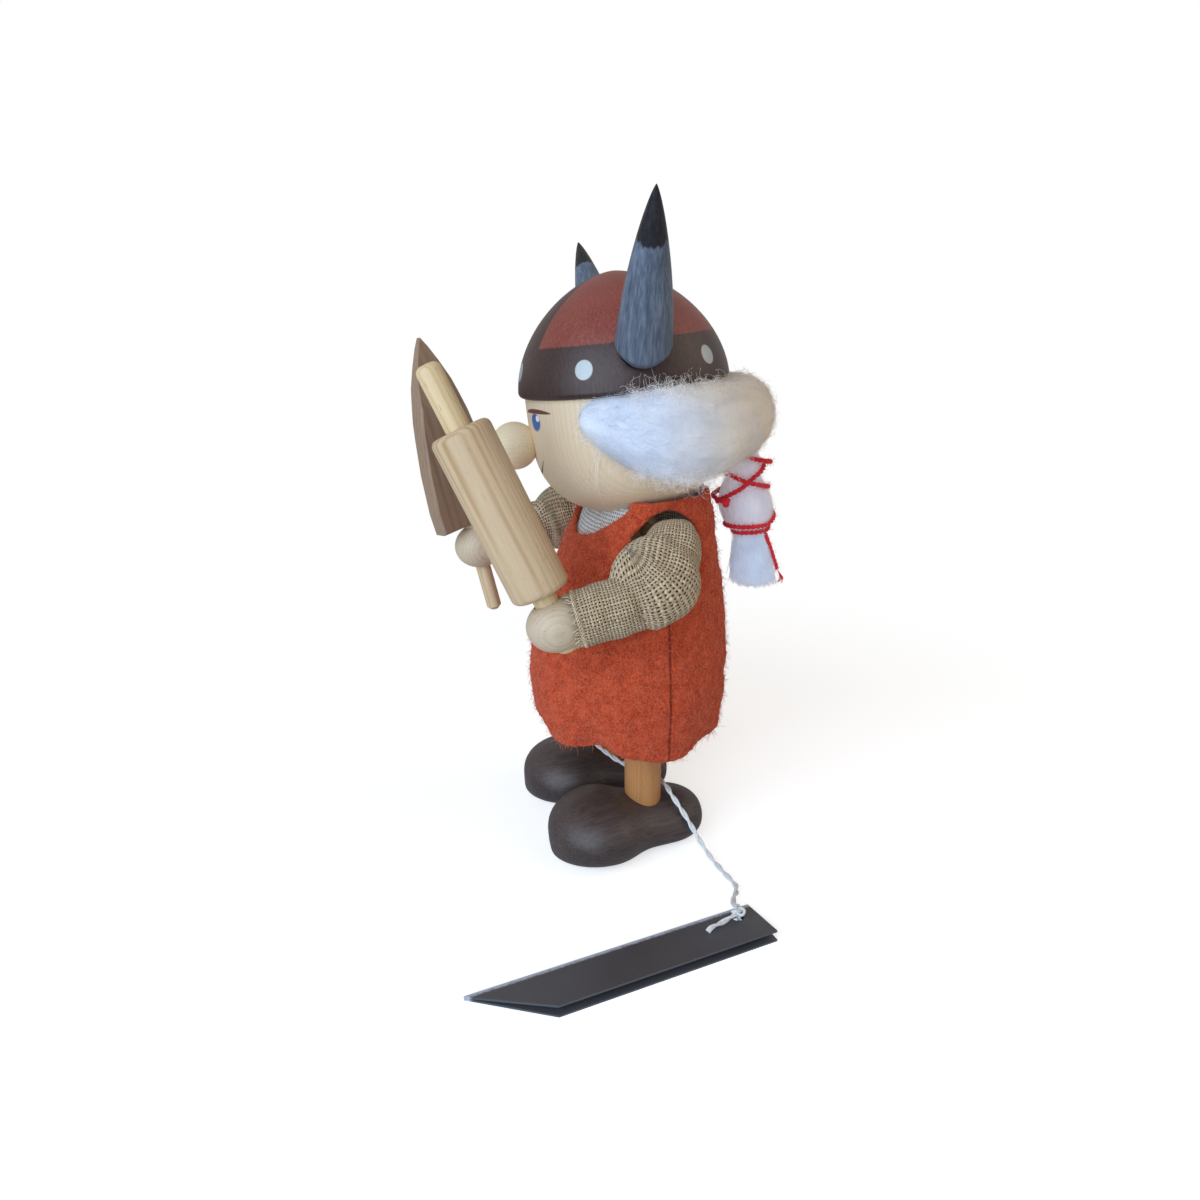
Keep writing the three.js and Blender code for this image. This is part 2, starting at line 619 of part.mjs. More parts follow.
// One length of yarn: a loose end beside the tassel, twice round the tie, up in a slack spiral, and down
// again the same way round, so that it crosses itself and rides over where it does
function yarnRoute() {
  const places = [];
  const rest = YARN_RADIUS + WOOL_GAP;
  const low = braidBand - 1;
  const tied = braidBand + 1.4 * YARN_TIE_TURNS;
  const high = braidTop - 3;
  const full = 2 * Math.PI;
  const legs = [
    [8, 0, braidBottom + YARN_END_UP, low, 0.6],
    [36, YARN_TIE_TURNS, low, tied, 0],
    [28, YARN_RISE_TURNS, tied, high, 0],
    [8, YARN_TOP_TURNS, high, high, 0],
    [30, YARN_FALL_TURNS, high, tied + 3.4, 0],
  ];
  let angle = YARN_START;
  legs.forEach(([steps, turns, from, to, slack], which) => {
    for (let k = which === 0 ? 0 : 1; k <= steps; k += 1) {
      const share = k / steps;
      places.push({
        angle: angle + full * turns * share,
        z: from + (to - from) * share,
        lift: slack * (1 - share),
        falling: which === 4,
        rising: which === 2,
      });
    }
    angle += full * turns;
  });
  for (const place of places.filter((p) => p.falling)) {
    for (const under of places.filter((p) => p.rising)) {
      const apart = Math.abs(((place.angle - under.angle) % full + full + Math.PI) % full - Math.PI);
      const near = Math.hypot(apart * (BRAID_RADIUS + rest), place.z - under.z) / (5.2 * YARN_RADIUS);
      const rise = YARN_LIFT * (0.5 + 0.5 * Math.cos(Math.PI * near ** 2));
      if (near < 1) place.lift = Math.max(place.lift, rise);
    }
  }
  return places.map(({ angle: turn, z, lift }) => {
    const out = braidRadius(z) + rest + lift;
    return new THREE.Vector3(out * Math.cos(turn), braidBack(z) + out * Math.sin(turn), z);
  });
}

// A tube through points, with its sections square to the way
function tube(route, radius, sides) {
  const rings = [];
  let side = new THREE.Vector3(1, 0, 0);
  route.forEach((here, k) => {
    const before = route[Math.max(0, k - 1)];
    const after = route[Math.min(route.length - 1, k + 1)];
    const way = after.clone().sub(before).normalize();
    side = side.clone().addScaledVector(way, -side.dot(way)).normalize();
    const up = way.clone().cross(side);
    const ring = [];
    for (let j = 0; j < sides; j += 1) {
      const turn = 2 * Math.PI * j / sides;
      ring.push(here.clone().addScaledVector(side, radius * Math.cos(turn))
        .addScaledVector(up, radius * Math.sin(turn)));
    }
    rings.push(ring);
  });
  return lofted(rings);
}

function leastSelfGap(route, radius) {
  let least = Infinity;
  let walked = 0;
  const along = route.map((p, k) => {
    walked += k ? p.distanceTo(route[k - 1]) : 0;
    return walked;
  });
  for (let i = 0; i < route.length; i += 1) {
    for (let j = i + 1; j < route.length; j += 1) {
      if (along[j] - along[i] > 8 * radius) least = Math.min(least, route[i].distanceTo(route[j]));
    }
  }
  return least - 2 * radius;
}

// Arms. A glued wooden core runs from the shoulder over the elbow to an egg-shaped hand
function armFrame(side, elbowPlace, handPlace) {
  const shoulder = new THREE.Vector3(side * SHOULDER_OUT, SHOULDER_BACK, shoulderHeight);
  const elbow = shoulder.clone().add(point(elbowPlace));
  const hand = shoulder.clone().add(point(handPlace));
  const upper = elbow.clone().sub(shoulder).normalize();
  const fore = hand.clone().sub(elbow).normalize();
  const cuff = hand.clone().addScaledVector(fore, -CUFF_BACK);
  const mitre = upper.clone().add(fore).normalize();
  return { side, shoulder, elbow, hand, upper, fore, cuff, mitre };
}

function armCore(arm, grow, pastCuff) {
  const radius = ARM_RADIUS + grow;
  const wrist = WRIST_RADIUS + grow;
  return ball(arm.shoulder, radius, ARM_SIDES, ARM_SIDES / 2)
    .add(rod(arm.shoulder, arm.elbow, radius, radius, ARM_SIDES))
    .add(ball(arm.elbow, radius, ARM_SIDES, ARM_SIDES / 2))
    .add(rod(arm.elbow, arm.cuff, radius, wrist, ARM_SIDES, 0, pastCuff));
}

function handEgg(arm, grow) {
  const geometry = new THREE.SphereGeometry(HAND_RADIUS + grow, HAND_SIDES, 9);
  geometry.rotateX(Math.PI / 2);
  geometry.scale(1, 1, HAND_STRETCH);
  geometry.applyQuaternion(new THREE.Quaternion().setFromUnitVectors(UP, arm.fore));
  geometry.translate(arm.hand.x, arm.hand.y, arm.hand.z);
  return solid(geometry);
}

// How far the hand reaches from its middle along a direction
function handReach(arm, direction) {
  const along = arm.fore.dot(direction);
  return HAND_RADIUS * Math.sqrt(1 - along * along + (HAND_STRETCH * along) ** 2);
}

// The half space behind (or past) the elbow's mitre
function mitreHalf(arm, past) {
  const size = 60;
  const half = box(new THREE.Vector3(-size, -size, 0), new THREE.Vector3(size, size, size));
  const way = past ? arm.mitre : arm.mitre.clone().negate();
  const place = arm.elbow.clone().addScaledVector(way, 0.5 * GLUE_GAP);
  const turn = new THREE.Quaternion().setFromUnitVectors(UP, way);
  return moved(half, new THREE.Matrix4().compose(place, turn, new THREE.Vector3(1, 1, 1)));
}

function pegHole(arm, gap) {
  const inner = arm.shoulder.clone().setX(arm.side * (SHOULDER_OUT - 20));
  const outer = arm.shoulder.clone().setX(arm.side * (SHOULDER_OUT + PEG_IN_ARM - ARM_RADIUS + gap));
  return rod(inner, outer, PEG_RADIUS + gap, PEG_RADIUS + gap, PEG_SIDES);
}

function upperArm(arm) {
  return armCore(arm, 0, 0).intersect(mitreHalf(arm, false)).subtract(pegHole(arm, TURN_GAP));
}

function forearm(arm, hold, grip, gripRadius) {
  const along = grip.clone().multiplyScalar(20);
  const hole = rod(hold.clone().sub(along), hold.clone().add(along),
    gripRadius + GLUE_GAP, gripRadius + GLUE_GAP, DOWEL_SIDES);
  return armCore(arm, 0, CUFF_BACK).intersect(mitreHalf(arm, true)).add(handEgg(arm, 0)).subtract(hole);
}

function shoulderPeg(arm) {
  const inner = arm.shoulder.clone().setX(arm.side * pegInner);
  const outer = arm.shoulder.clone().setX(arm.side * (SHOULDER_OUT + PEG_IN_ARM - ARM_RADIUS));
  return rod(inner, outer, PEG_RADIUS, PEG_RADIUS, PEG_SIDES);
}

function crook(arm, radius) {
  const above = arm.shoulder.clone().lerp(arm.elbow, CROOK_ABOVE);
  const below = arm.elbow.clone().lerp(arm.cuff, CROOK_BELOW);
  return rod(above, below, radius, radius, ARM_SIDES);
}

function sleeve(arm) {
  const inside = armCore(arm, GLUE_GAP, CUFF_BACK).add(handEgg(arm, GLUE_GAP))
    .add(crook(arm, CROOK_RADIUS - SLEEVE_WALL));
  const opening = arm.shoulder.clone().setX(arm.side * (SHOULDER_OUT - 20));
  return armCore(arm, GLUE_GAP + SLEEVE_WALL, 0).add(crook(arm, CROOK_RADIUS)).subtract(inside)
    .subtract(rod(opening, arm.shoulder, SLEEVE_HOLE_RADIUS, SLEEVE_HOLE_RADIUS, DOWEL_SIDES));
}

// Rolling pin: a drilled roller on one dowel that goes on through the hand
const leftArm = armFrame(1, LEFT_ELBOW, LEFT_HAND);
const rightArm = armFrame(-1, RIGHT_ELBOW, RIGHT_HAND);
const pinWay = point(PIN_DIRECTION).normalize();
const rollerStart = handReach(leftArm, pinWay) + ROLLER_OVER_HAND;

function alongWay(body, start, way) {
  const turn = new THREE.Quaternion().setFromUnitVectors(UP, way);
  return moved(body, new THREE.Matrix4().compose(start, turn, new THREE.Vector3(1, 1, 1)));
}

function roller() {
  const inner = PIN_HANDLE_RADIUS + GLUE_GAP;
  const [edge, radius, length] = [ROLLER_EDGE, ROLLER_RADIUS, ROLLER_LENGTH];
  const body = turned([[0, 0], [radius - edge, 0], [radius - 0.3 * edge, 0.3 * edge], [radius, edge],
    [radius, length - edge], [radius - 0.3 * edge, length - 0.3 * edge], [radius - edge, length],
    [0, length]], TORSO_SIDES);
  const boreEnds = [new THREE.Vector3(0, 0, -length), new THREE.Vector3(0, 0, 2 * length)];
  const bore = rod(boreEnds[0], boreEnds[1], inner, inner, DOWEL_SIDES);
  return alongWay(body.subtract(bore), leftArm.hand.clone().addScaledVector(pinWay, rollerStart), pinWay);
}

function roundedDowel(radius, low, high) {
  const edge = 0.55 * radius;
  return turned([[0, low], [radius - edge, low], [radius - 0.3 * edge, low + 0.3 * edge],
    [radius, low + edge], [radius, high - edge], [radius - 0.3 * edge, high - 0.3 * edge],
    [radius - edge, high], [0, high]], DOWEL_SIDES);
}

function pinHandle() {
  const top = rollerStart + ROLLER_LENGTH + PIN_HANDLE_ABOVE;
  return alongWay(roundedDowel(PIN_HANDLE_RADIUS, -PIN_HANDLE_BELOW, top), leftArm.hand, pinWay);
}

// Sword: a sawn blade with softened edges, glued on the thin end of a turned handle
const swordWay = point(SWORD_DIRECTION).normalize();
const swordHold = rightArm.hand.clone().add(new THREE.Vector3(0, -SWORD_FORWARD, 0));
const bladeStart = handReach(rightArm, swordWay) + GLUE_GAP;

function blade() {
  const soft = BLADE_SOFTENING;
  const outline = new THREE.Shape();
  const corner = ([share, half], side) => [side * (half - soft), Math.max(soft, share * BLADE_LENGTH)];
  outline.moveTo(...corner(BLADE_OUTLINE[0], -1));
  for (const row of BLADE_OUTLINE) outline.lineTo(...corner(row, 1));
  outline.lineTo(0, BLADE_LENGTH - soft);
  for (const row of BLADE_OUTLINE.slice(1).reverse()) outline.lineTo(...corner(row, -1));
  outline.closePath();
  const geometry = new THREE.ExtrudeGeometry(outline, {
    depth: BLADE_THICKNESS - 2 * soft, bevelEnabled: true, bevelThickness: soft, bevelSize: soft,
    bevelSegments: 1,
  });
  geometry.translate(0, 0, soft - 0.5 * BLADE_THICKNESS);
  const side = new THREE.Shape();
  const thick = 0.5 * BLADE_THICKNESS + 1;
  side.moveTo(-1, -thick);
  side.lineTo(BLADE_TIP_FROM * BLADE_LENGTH, -thick);
  side.lineTo(BLADE_TIP_FROM * BLADE_LENGTH, -0.5 * BLADE_THICKNESS);
  side.lineTo(BLADE_LENGTH + 1, -0.5 * BLADE_TIP_THICKNESS);
  side.lineTo(BLADE_LENGTH + 1, 0.5 * BLADE_TIP_THICKNESS);
  side.lineTo(BLADE_TIP_FROM * BLADE_LENGTH, 0.5 * BLADE_THICKNESS);
  side.lineTo(BLADE_TIP_FROM * BLADE_LENGTH, thick);
  side.lineTo(-1, thick);
  side.closePath();
  const taperShape = new THREE.ExtrudeGeometry(side, { depth: 60, bevelEnabled: false });
  taperShape.translate(0, 0, -30);
  taperShape.applyMatrix4(new THREE.Matrix4().makeBasis(
    new THREE.Vector3(0, 1, 0), new THREE.Vector3(0, 0, 1),
    new THREE.Vector3(1, 0, 0)));
  const taper = solid(taperShape);
  const flat = new THREE.Vector3(Math.cos(radians(BLADE_TURN)), Math.sin(radians(BLADE_TURN)), 0);
  flat.addScaledVector(swordWay, -flat.dot(swordWay)).normalize();
  const across = swordWay.clone().cross(flat);
  const place = new THREE.Matrix4().makeBasis(across, swordWay, flat)
    .setPosition(swordHold.clone().addScaledVector(swordWay, bladeStart));
  const tangEnd = swordHold.clone().addScaledVector(swordWay, bladeStart + BLADE_TANG + GLUE_GAP);
  const hole = rod(swordHold, tangEnd, TANG_RADIUS + GLUE_GAP, TANG_RADIUS + GLUE_GAP, PEG_SIDES);
  return moved(solid(geometry).intersect(taper), place).subtract(hole);
}

function swordHandle() {
  const [radius, low] = [SWORD_HANDLE_RADIUS, -SWORD_HANDLE_BELOW];
  const shoulder = bladeStart - GLUE_GAP;
  const edge = 0.5 * radius;
  const profile = [[0, low], [radius - edge, low], [radius, low + edge], [radius, shoulder],
    [TANG_RADIUS, shoulder], [TANG_RADIUS, bladeStart + BLADE_TANG], [0, bladeStart + BLADE_TANG]];
  return alongWay(turned(profile, DOWEL_SIDES), swordHold, swordWay);
}

// Cloth of the body: a ring of points at a height, drawn in by an inset, with the hem's waves
function clothRing(z, inset, points, low) {
  const at = Math.min(Math.max(z, HEM), dressTop);
  const height = (at - HEM) / (dressTop - HEM);
  const row = Math.max(1, DRESS_SHAPE.findIndex(([share]) => share >= height));
  const last = DRESS_SHAPE.length - 1;
  const rows = [row - 2, row - 1, row, row + 1].map((k) => DRESS_SHAPE[Math.min(last, Math.max(0, k))]);
  const share = (height - rows[1][0]) / (rows[2][0] - rows[1][0]);
  const smooth = (column) => {
    const [p0, p1, p2, p3] = rows.map((r) => r[column]);
    const [start, end] = [(p2 - p0) / 2, (p3 - p1) / 2];
    const [t2, t3] = [share ** 2, share ** 3];
    return (2 * t3 - 3 * t2 + 1) * p1 + (t3 - 2 * t2 + share) * start
      + (3 * t2 - 2 * t3) * p2 + (t3 - t2) * end;
  };
  const [side, front, back] = [smooth(1) - inset, smooth(2) - inset, smooth(3) - inset];
  const fall = Math.max(0, 1 - (at - HEM) / 30) ** 1.6;
  const ring = [];
  for (let j = 0; j < points; j += 1) {
    const turn = 2 * Math.PI * j / points;
    const wave = Math.sin(HEM_WAVES * turn + 0.9) + 0.45 * Math.sin((HEM_WAVES - 2) * turn + 2.2);
    const out = 1 + fall * HEM_WAVE_DEPTH * wave / side;
    const deep = Math.sin(turn) > 0 ? back : front;
    const fades = Math.max(0, 1 - (at - HEM) / 8);
    const drop = low ? 0 : (HEM_WAVE_DROP * wave + HEM_BACK_DROP * Math.sin(turn)) * fades;
    ring.push(new THREE.Vector3(side * out * Math.cos(turn), deep * out * Math.sin(turn), z - drop));
  }
  return ring;
}

function cloth(bottom, top, inset, wall, count, points) {
  const rows = (low, high, deep, flat) => {
    const rings = [];
    for (let k = 0; k <= count; k += 1) {
      rings.push(clothRing(low + (high - low) * k / count, deep, points, flat));
    }
    return rings;
  };
  const outer = lofted(rows(bottom, top, inset, false));
  const below = clothRing(bottom - CLOTH_BELOW, inset + wall, points, true);
  const inner = lofted([below, ...rows(bottom - 3, top - wall, inset + wall, true)]);
  return outer.subtract(inner);
}

function ellipseRod(from, to, halfWidths, along) {
  const ring = (at) => Array.from({ length: 26 }, (_, j) => {
    const turn = 2 * Math.PI * j / 26;
    const [c, s] = [Math.cos(turn), Math.sin(turn)];
    const second = s > 0 ? halfWidths[2] : halfWidths[1];
    if (along === 'z') return new THREE.Vector3(halfWidths[0] * c, second * s, at);
    return new THREE.Vector3(at, halfWidths[3] + halfWidths[0] * c, halfWidths[4] + second * s);
  });
  return lofted([ring(from), ring(to)]);
}

function armholes() {
  const middle = shoulderHeight + 0.5 * (ARMHOLE_ABOVE - ARMHOLE_BELOW);
  const half = 0.5 * (ARMHOLE_ABOVE + ARMHOLE_BELOW);
  const sizes = [ARMHOLE_HALF_WIDTH, half, half, SHOULDER_BACK - ARMHOLE_FORWARD, middle];
  return ellipseRod(13, 45, sizes, 'x').add(ellipseRod(-45, -13, sizes, 'x'));
}

function neckHole(narrower, higher) {
  const round = ellipseRod(necklineZ + 5, dressTop + 20, [NECK_OPENING_SIDE - narrower,
    NECK_OPENING_FRONT - narrower, NECK_OPENING_BACK - narrower], 'z');
  const [low, high] = [necklineZ + higher, dressTop + 12];
  const half = NECKLINE_HALF_WIDTH - 0.4 * narrower;
  const top = NECK_OPENING_SIDE - narrower - 1.6;
  const outline = new THREE.Shape();
  outline.moveTo(-half, low);
  outline.quadraticCurveTo(0, low - 0.8, half, low);
  outline.quadraticCurveTo(top - 3, low + 3, top, dressTop - 1);
  outline.lineTo(top, high);
  outline.lineTo(-top, high);
  outline.lineTo(-top, dressTop - 1);
  outline.quadraticCurveTo(-top + 3, low + 3, -half, low);
  const geometry = new THREE.ExtrudeGeometry(outline, { depth: 34, curveSegments: 6, bevelEnabled: false });
  geometry.rotateX(Math.PI / 2);
  return round.add(solid(geometry));
}

function dress() {
  return cloth(HEM, dressTop, 0, FELT, 9, 32).subtract(armholes()).subtract(neckHole(0, 0));
}

function shirt() {
  const inset = FELT + GLUE_GAP + 0.1;
  const top = dressTop - inset;
  return cloth(top - SHIRT_LENGTH, top, inset, LINEN, 5, 24).subtract(armholes())
    .subtract(neckHole(SHIRT_COLLAR_IN, 2.6));
}

// Tag: a folded card with a clipped corner, and a hole for the string near one end of the fold
function tag() {
  const leaf = new THREE.Shape();
  leaf.moveTo(0, 0);
  leaf.lineTo(TAG_CLIP, -TAG_WIDTH);
  leaf.lineTo(TAG_LENGTH, -TAG_WIDTH);
  leaf.lineTo(TAG_LENGTH, 0);
  leaf.closePath();
  const hole = [TAG_LENGTH - TAG_HOLE_IN, -TAG_HOLE_DOWN];
  leaf.holes.push(new THREE.Path().absarc(hole[0], hole[1], TAG_HOLE_RADIUS, 0, 2 * Math.PI));
  const thickness = { depth: TAG_CARD, curveSegments: 8, bevelEnabled: false };
  const lower = solid(new THREE.ExtrudeGeometry(leaf, thickness));
  const raise = new THREE.Matrix4().makeRotationX(-radians(TAG_OPENING)).setPosition(0, 0, TAG_CARD);
  const foldStart = new THREE.Vector3(0, 0, TAG_CARD);
  const fold = rod(foldStart, new THREE.Vector3(TAG_LENGTH, 0, TAG_CARD), TAG_CARD, TAG_CARD, 12);
  return moved(lower.add(moved(lower, raise)).add(fold), tagPlace);
}

// String: a loop round the right leg, behind the left one, over its heel and along the floor to the tag
function string() {
  const loop = LEG_RADIUS + STRING_RADIUS + GLUE_GAP + 0.1;
  const places = [];
  for (let k = 0; k <= 5; k += 1) {
    const turn = radians(120 + 34 * k);
    const z = STRING_LOOP_HEIGHT - 0.1 * k;
    places.push(new THREE.Vector3(-LEG_SPREAD + loop * Math.cos(turn), loop * Math.sin(turn), z));
  }
  places.push(...STRING_ROUTE.map(point));
  const hole = new THREE.Vector3(TAG_LENGTH - TAG_HOLE_IN, -TAG_HOLE_DOWN, 0);
  for (const [back, height] of [[4.2, 2.3], [1.2, 2.9], [0, 2.2], [0, 1]]) {
    places.push(hole.clone().add(new THREE.Vector3(0.3 * back, back, height)).applyMatrix4(tagPlace));
  }
  const way = new THREE.CatmullRomCurve3(places, false, 'centripetal');
  const section = new THREE.Shape();
  for (let j = 0; j <= 8; j += 1) {
    const turn = 2 * Math.PI * j / 8;
    section[j ? 'lineTo' : 'moveTo'](STRING_RADIUS * Math.cos(turn), STRING_RADIUS * Math.sin(turn));
  }
  return solid(new THREE.ExtrudeGeometry(section, { steps: 48, extrudePath: way, bevelEnabled: false }));
}

// The whole figure. The head's pieces hang in the head's own tilted frame
const figure = new THREE.Group();
const turnedHead = new THREE.Group();
turnedHead.rotation.z = radians(HEAD_TURN);
const tiltedHead = new THREE.Group();
tiltedHead.applyMatrix4(headTilt);
turnedHead.add(tiltedHead);
figure.add(turnedHead);

for (const [name, side] of [['left', 1], ['right', -1]]) {
  const foot = new THREE.Group();
  foot.position.x = side * LEG_SPREAD;
  foot.add(mesh(`shoe_${name}`, shoe(side), darkStain), mesh(`leg_${name}`, leg(), legWood));
  figure.add(foot);
}
figure.add(mesh('torso', torso(), paleWood));
const neckFrom = new THREE.Vector3(0, 0, torsoTop - NECK_IN_TORSO);
const neckTo = new THREE.Vector3(0, 0, neckTopZ);
figure.add(mesh('neck_dowel', rod(neckFrom, neckTo, NECK_RADIUS, NECK_RADIUS, DOWEL_SIDES), pineWood));
figure.add(mesh('shirt', shirt(), linen), mesh('dress', dress(), felt));

const grips = {
  left: [leftArm, leftArm.hand, pinWay, PIN_HANDLE_RADIUS],
  right: [rightArm, swordHold, swordWay, SWORD_HANDLE_RADIUS],
};
for (const [name, [arm, hold, way, radius]] of Object.entries(grips)) {
  figure.add(
    mesh(`shoulder_peg_${name}`, shoulderPeg(arm), pineWood),
    mesh(`upper_arm_${name}`, upperArm(arm), paleWood),
    mesh(`forearm_${name}`, forearm(arm, hold, way, radius), paleWood),
    mesh(`sleeve_${name}`, sleeve(arm), linen),
  );
}
figure.add(mesh('pin_roller', roller(), pineWood), mesh('pin_handle', pinHandle(), pineWood));
figure.add(mesh('sword_blade', blade(), walnut), mesh('sword_handle', swordHandle(), paleWood));

tiltedHead.add(mesh('head', head(), paleWood), mesh('helmet', helmet(), helmetStain));
tiltedHead.add(mesh('nose', nose(), pineWood));
for (const [name, side] of [['left', 1], ['right', -1]]) {
  const seat = new THREE.Group();
  seat.applyMatrix4(hornPlace(side));
  seat.add(mesh(`horn_${name}`, hornBody(0), hornStain));
  tiltedHead.add(seat);
}
tiltedHead.add(mesh('hair', hair(), wool));
const windings = yarnRoute();
console.log(`braid yarn: least gap to itself ${leastSelfGap(windings, YARN_RADIUS).toFixed(2)} mm`);
turnedHead.add(mesh('braid', braidBody(0), wool));
turnedHead.add(mesh('braid_yarn', tube(windings, YARN_RADIUS, YARN_SIDES), yarn));

figure.add(mesh('tag_card', tag(), card), mesh('tag_string', string(), cotton));

// The origin: the middle of the figure's own box, without the tag and its string, on the floor
figure.updateMatrixWorld(true);
const own = new THREE.Box3();
figure.traverse((piece) => {
  if (piece.isMesh && !piece.name.startsWith('tag_')) own.expandByObject(piece, true);
});
const middle = own.getCenter(new THREE.Vector3());
figure.position.set(-middle.x, -middle.y, -own.min.z);

export default figure;
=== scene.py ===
import json
import math
import random

import bmesh
import bpy
from mathutils import Matrix, Vector, kdtree, noise


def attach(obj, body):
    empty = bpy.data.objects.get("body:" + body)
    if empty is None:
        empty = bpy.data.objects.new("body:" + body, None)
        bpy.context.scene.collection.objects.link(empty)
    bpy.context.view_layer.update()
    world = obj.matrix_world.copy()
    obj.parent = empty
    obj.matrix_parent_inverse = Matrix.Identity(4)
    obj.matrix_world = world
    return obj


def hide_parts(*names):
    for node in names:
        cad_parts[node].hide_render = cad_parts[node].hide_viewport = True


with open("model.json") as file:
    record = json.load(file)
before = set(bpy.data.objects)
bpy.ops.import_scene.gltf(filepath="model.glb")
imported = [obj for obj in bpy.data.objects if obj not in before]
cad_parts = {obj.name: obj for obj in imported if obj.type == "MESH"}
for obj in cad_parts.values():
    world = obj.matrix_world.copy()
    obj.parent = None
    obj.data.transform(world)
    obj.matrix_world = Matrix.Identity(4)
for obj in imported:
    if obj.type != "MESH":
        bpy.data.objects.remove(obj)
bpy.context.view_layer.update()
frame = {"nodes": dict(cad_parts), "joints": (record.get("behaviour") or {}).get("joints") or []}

scene = bpy.context.scene
joints = {joint["name"]: Vector(joint["pos_m"]) for joint in frame["joints"]}

# Camera. It stands where the photograph's stood, on the figure's left, a little ahead of it and above,
# with a wide lens. Places are measured from the figure's own upright axis, which the head turns on.
FIGURE = Matrix.Translation((joints["head_turn"].x, joints["head_turn"].y, 0))
CAMERA_PLACE = Vector((0.1961, -0.0669, 0.1353))
CAMERA_YAW, CAMERA_PITCH, CAMERA_ROLL = 0.295, 0.326, -0.013
CAMERA_LENS = 24.04
forward = Vector((-math.cos(CAMERA_YAW) * math.cos(CAMERA_PITCH),
                  math.sin(CAMERA_YAW) * math.cos(CAMERA_PITCH), -math.sin(CAMERA_PITCH)))
level = forward.cross(Vector((0, 0, 1))).normalized()
upright = level.cross(forward)
right = math.cos(CAMERA_ROLL) * level + math.sin(CAMERA_ROLL) * upright
above = math.cos(CAMERA_ROLL) * upright - math.sin(CAMERA_ROLL) * level
camera = bpy.data.objects.new("camera", bpy.data.cameras.new("camera"))
camera.data.lens = CAMERA_LENS
camera.data.sensor_fit = "HORIZONTAL"
camera.data.clip_start = 0.01
camera.matrix_world = (FIGURE @ Matrix.Translation(CAMERA_PLACE)
                       @ Matrix((right, above, -forward)).transposed().to_4x4())
scene.collection.objects.link(camera)
scene.camera = camera
scene.view_settings.view_transform = "Standard"

# Light and ground. A large cool window light stands in front of the figure and a weaker warm one behind
# it. The ground and the sky are white to the camera, and the ground keeps the figure's shadow.
WINDOW = (Vector((0.50, -0.58, 0.40)), 0.9, 8.0, (0.68, 0.83, 1.0))
ROOM = (Vector((0.24, 0.55, 0.50)), 0.5, 1.0, (1.0, 0.82, 0.62))
LIT_MIDDLE = Vector((0, 0, 0.08))
SKY_STRENGTH = 0.22
SKY_MIRRORED = 0.42            # share of the white sky that reflections show
SKY_WARM, WHITE = (1.0, 0.92, 0.84, 1), (1, 1, 1, 1)
GROUND_SHADE = (0.86, 0.86, 0.86, 1)
GROUND_RADIUS = 4.0
GROUND_LIFT = 0.58
GROUND_CLEAR = (0.10, 0.24)    # from the figure out to where the ground is plain white


class Level:
    """A value that a material works out at each place. Arithmetic on it adds the nodes that do it."""

    def __init__(self, tree, socket):
        self.tree, self.socket = tree, socket

    def of(self, operation, *others):
        return node(self.tree, "Math", dict(enumerate((self, *others))), operation=operation)

    def __add__(self, other):
        return self.of("ADD", other)

    def __sub__(self, other):
        return self.of("SUBTRACT", other)

    def __mul__(self, other):
        return self.of("MULTIPLY", other)

    def __truediv__(self, other):
        return self.of("DIVIDE", other)

    def __abs__(self):
        return self.of("ABSOLUTE")

    def at_least(self, other):
        return self.of("MAXIMUM", other)

    def is_over(self, other):
        return self.of("GREATER_THAN", other)

    def root(self):
        return self.of("SQRT")


def node(tree, kind, inputs=None, out=0, **settings):
    """A shader node whose inputs take values or other nodes' levels."""
    made = tree.nodes.new("ShaderNode" + kind)
    for key, value in settings.items():
        setattr(made, key, value)
    for key, value in (inputs or {}).items():
        if isinstance(value, Level):
            tree.links.new(value.socket, made.inputs[key])
        else:
            made.inputs[key].default_value = value
    return Level(tree, made.outputs[out]) if made.outputs else None


def mixed(factor, first, second):
    tree = next(value.tree for value in (factor, first, second) if isinstance(value, Level))
    return node(tree, "Mix", {0: factor, 6: first, 7: second}, out=2, data_type="RGBA")


def ranged(level, start, end, low=0.0, high=1.0, **settings):
    """Goes from low to high while the level goes from start to end."""
    return node(level.tree, "MapRange", {0: level, 1: start, 2: end, 3: low, 4: high}, **settings)


def finish(name):
    """A new material with an empty tree."""
    made = bpy.data.materials.new(name)
    made.use_nodes = True
    made.node_tree.nodes.clear()
    return made, made.node_tree


for name, (place, size, power, colour) in {"window": WINDOW, "room": ROOM}.items():
    lamp = bpy.data.objects.new(name, bpy.data.lights.new(name, "AREA"))
    lamp.data.size = size
    lamp.data.energy = power
    lamp.data.color = colour
    aim = LIT_MIDDLE - place
    lamp.matrix_world = Matrix.Translation(place) @ aim.to_track_quat("-Z", "Y").to_matrix().to_4x4()
    scene.collection.objects.link(lamp)

sky = bpy.data.worlds.new("sky")
scene.world = sky
sky.use_nodes = True
tree = sky.node_tree
tree.nodes.clear()
mirrored = node(tree, "LightPath", out="Is Glossy Ray") * SKY_MIRRORED
seen = node(tree, "LightPath", out="Is Camera Ray").at_least(mirrored)
seen = seen.at_least(node(tree, "LightPath", out="Is Transmission Ray"))
background = node(tree, "Background", {"Color": mixed(seen, SKY_WARM, WHITE),
                                       "Strength": ranged(seen, 0.0, 1.0, SKY_STRENGTH, 1.0)})
node(tree, "OutputWorld", {"Surface": background})

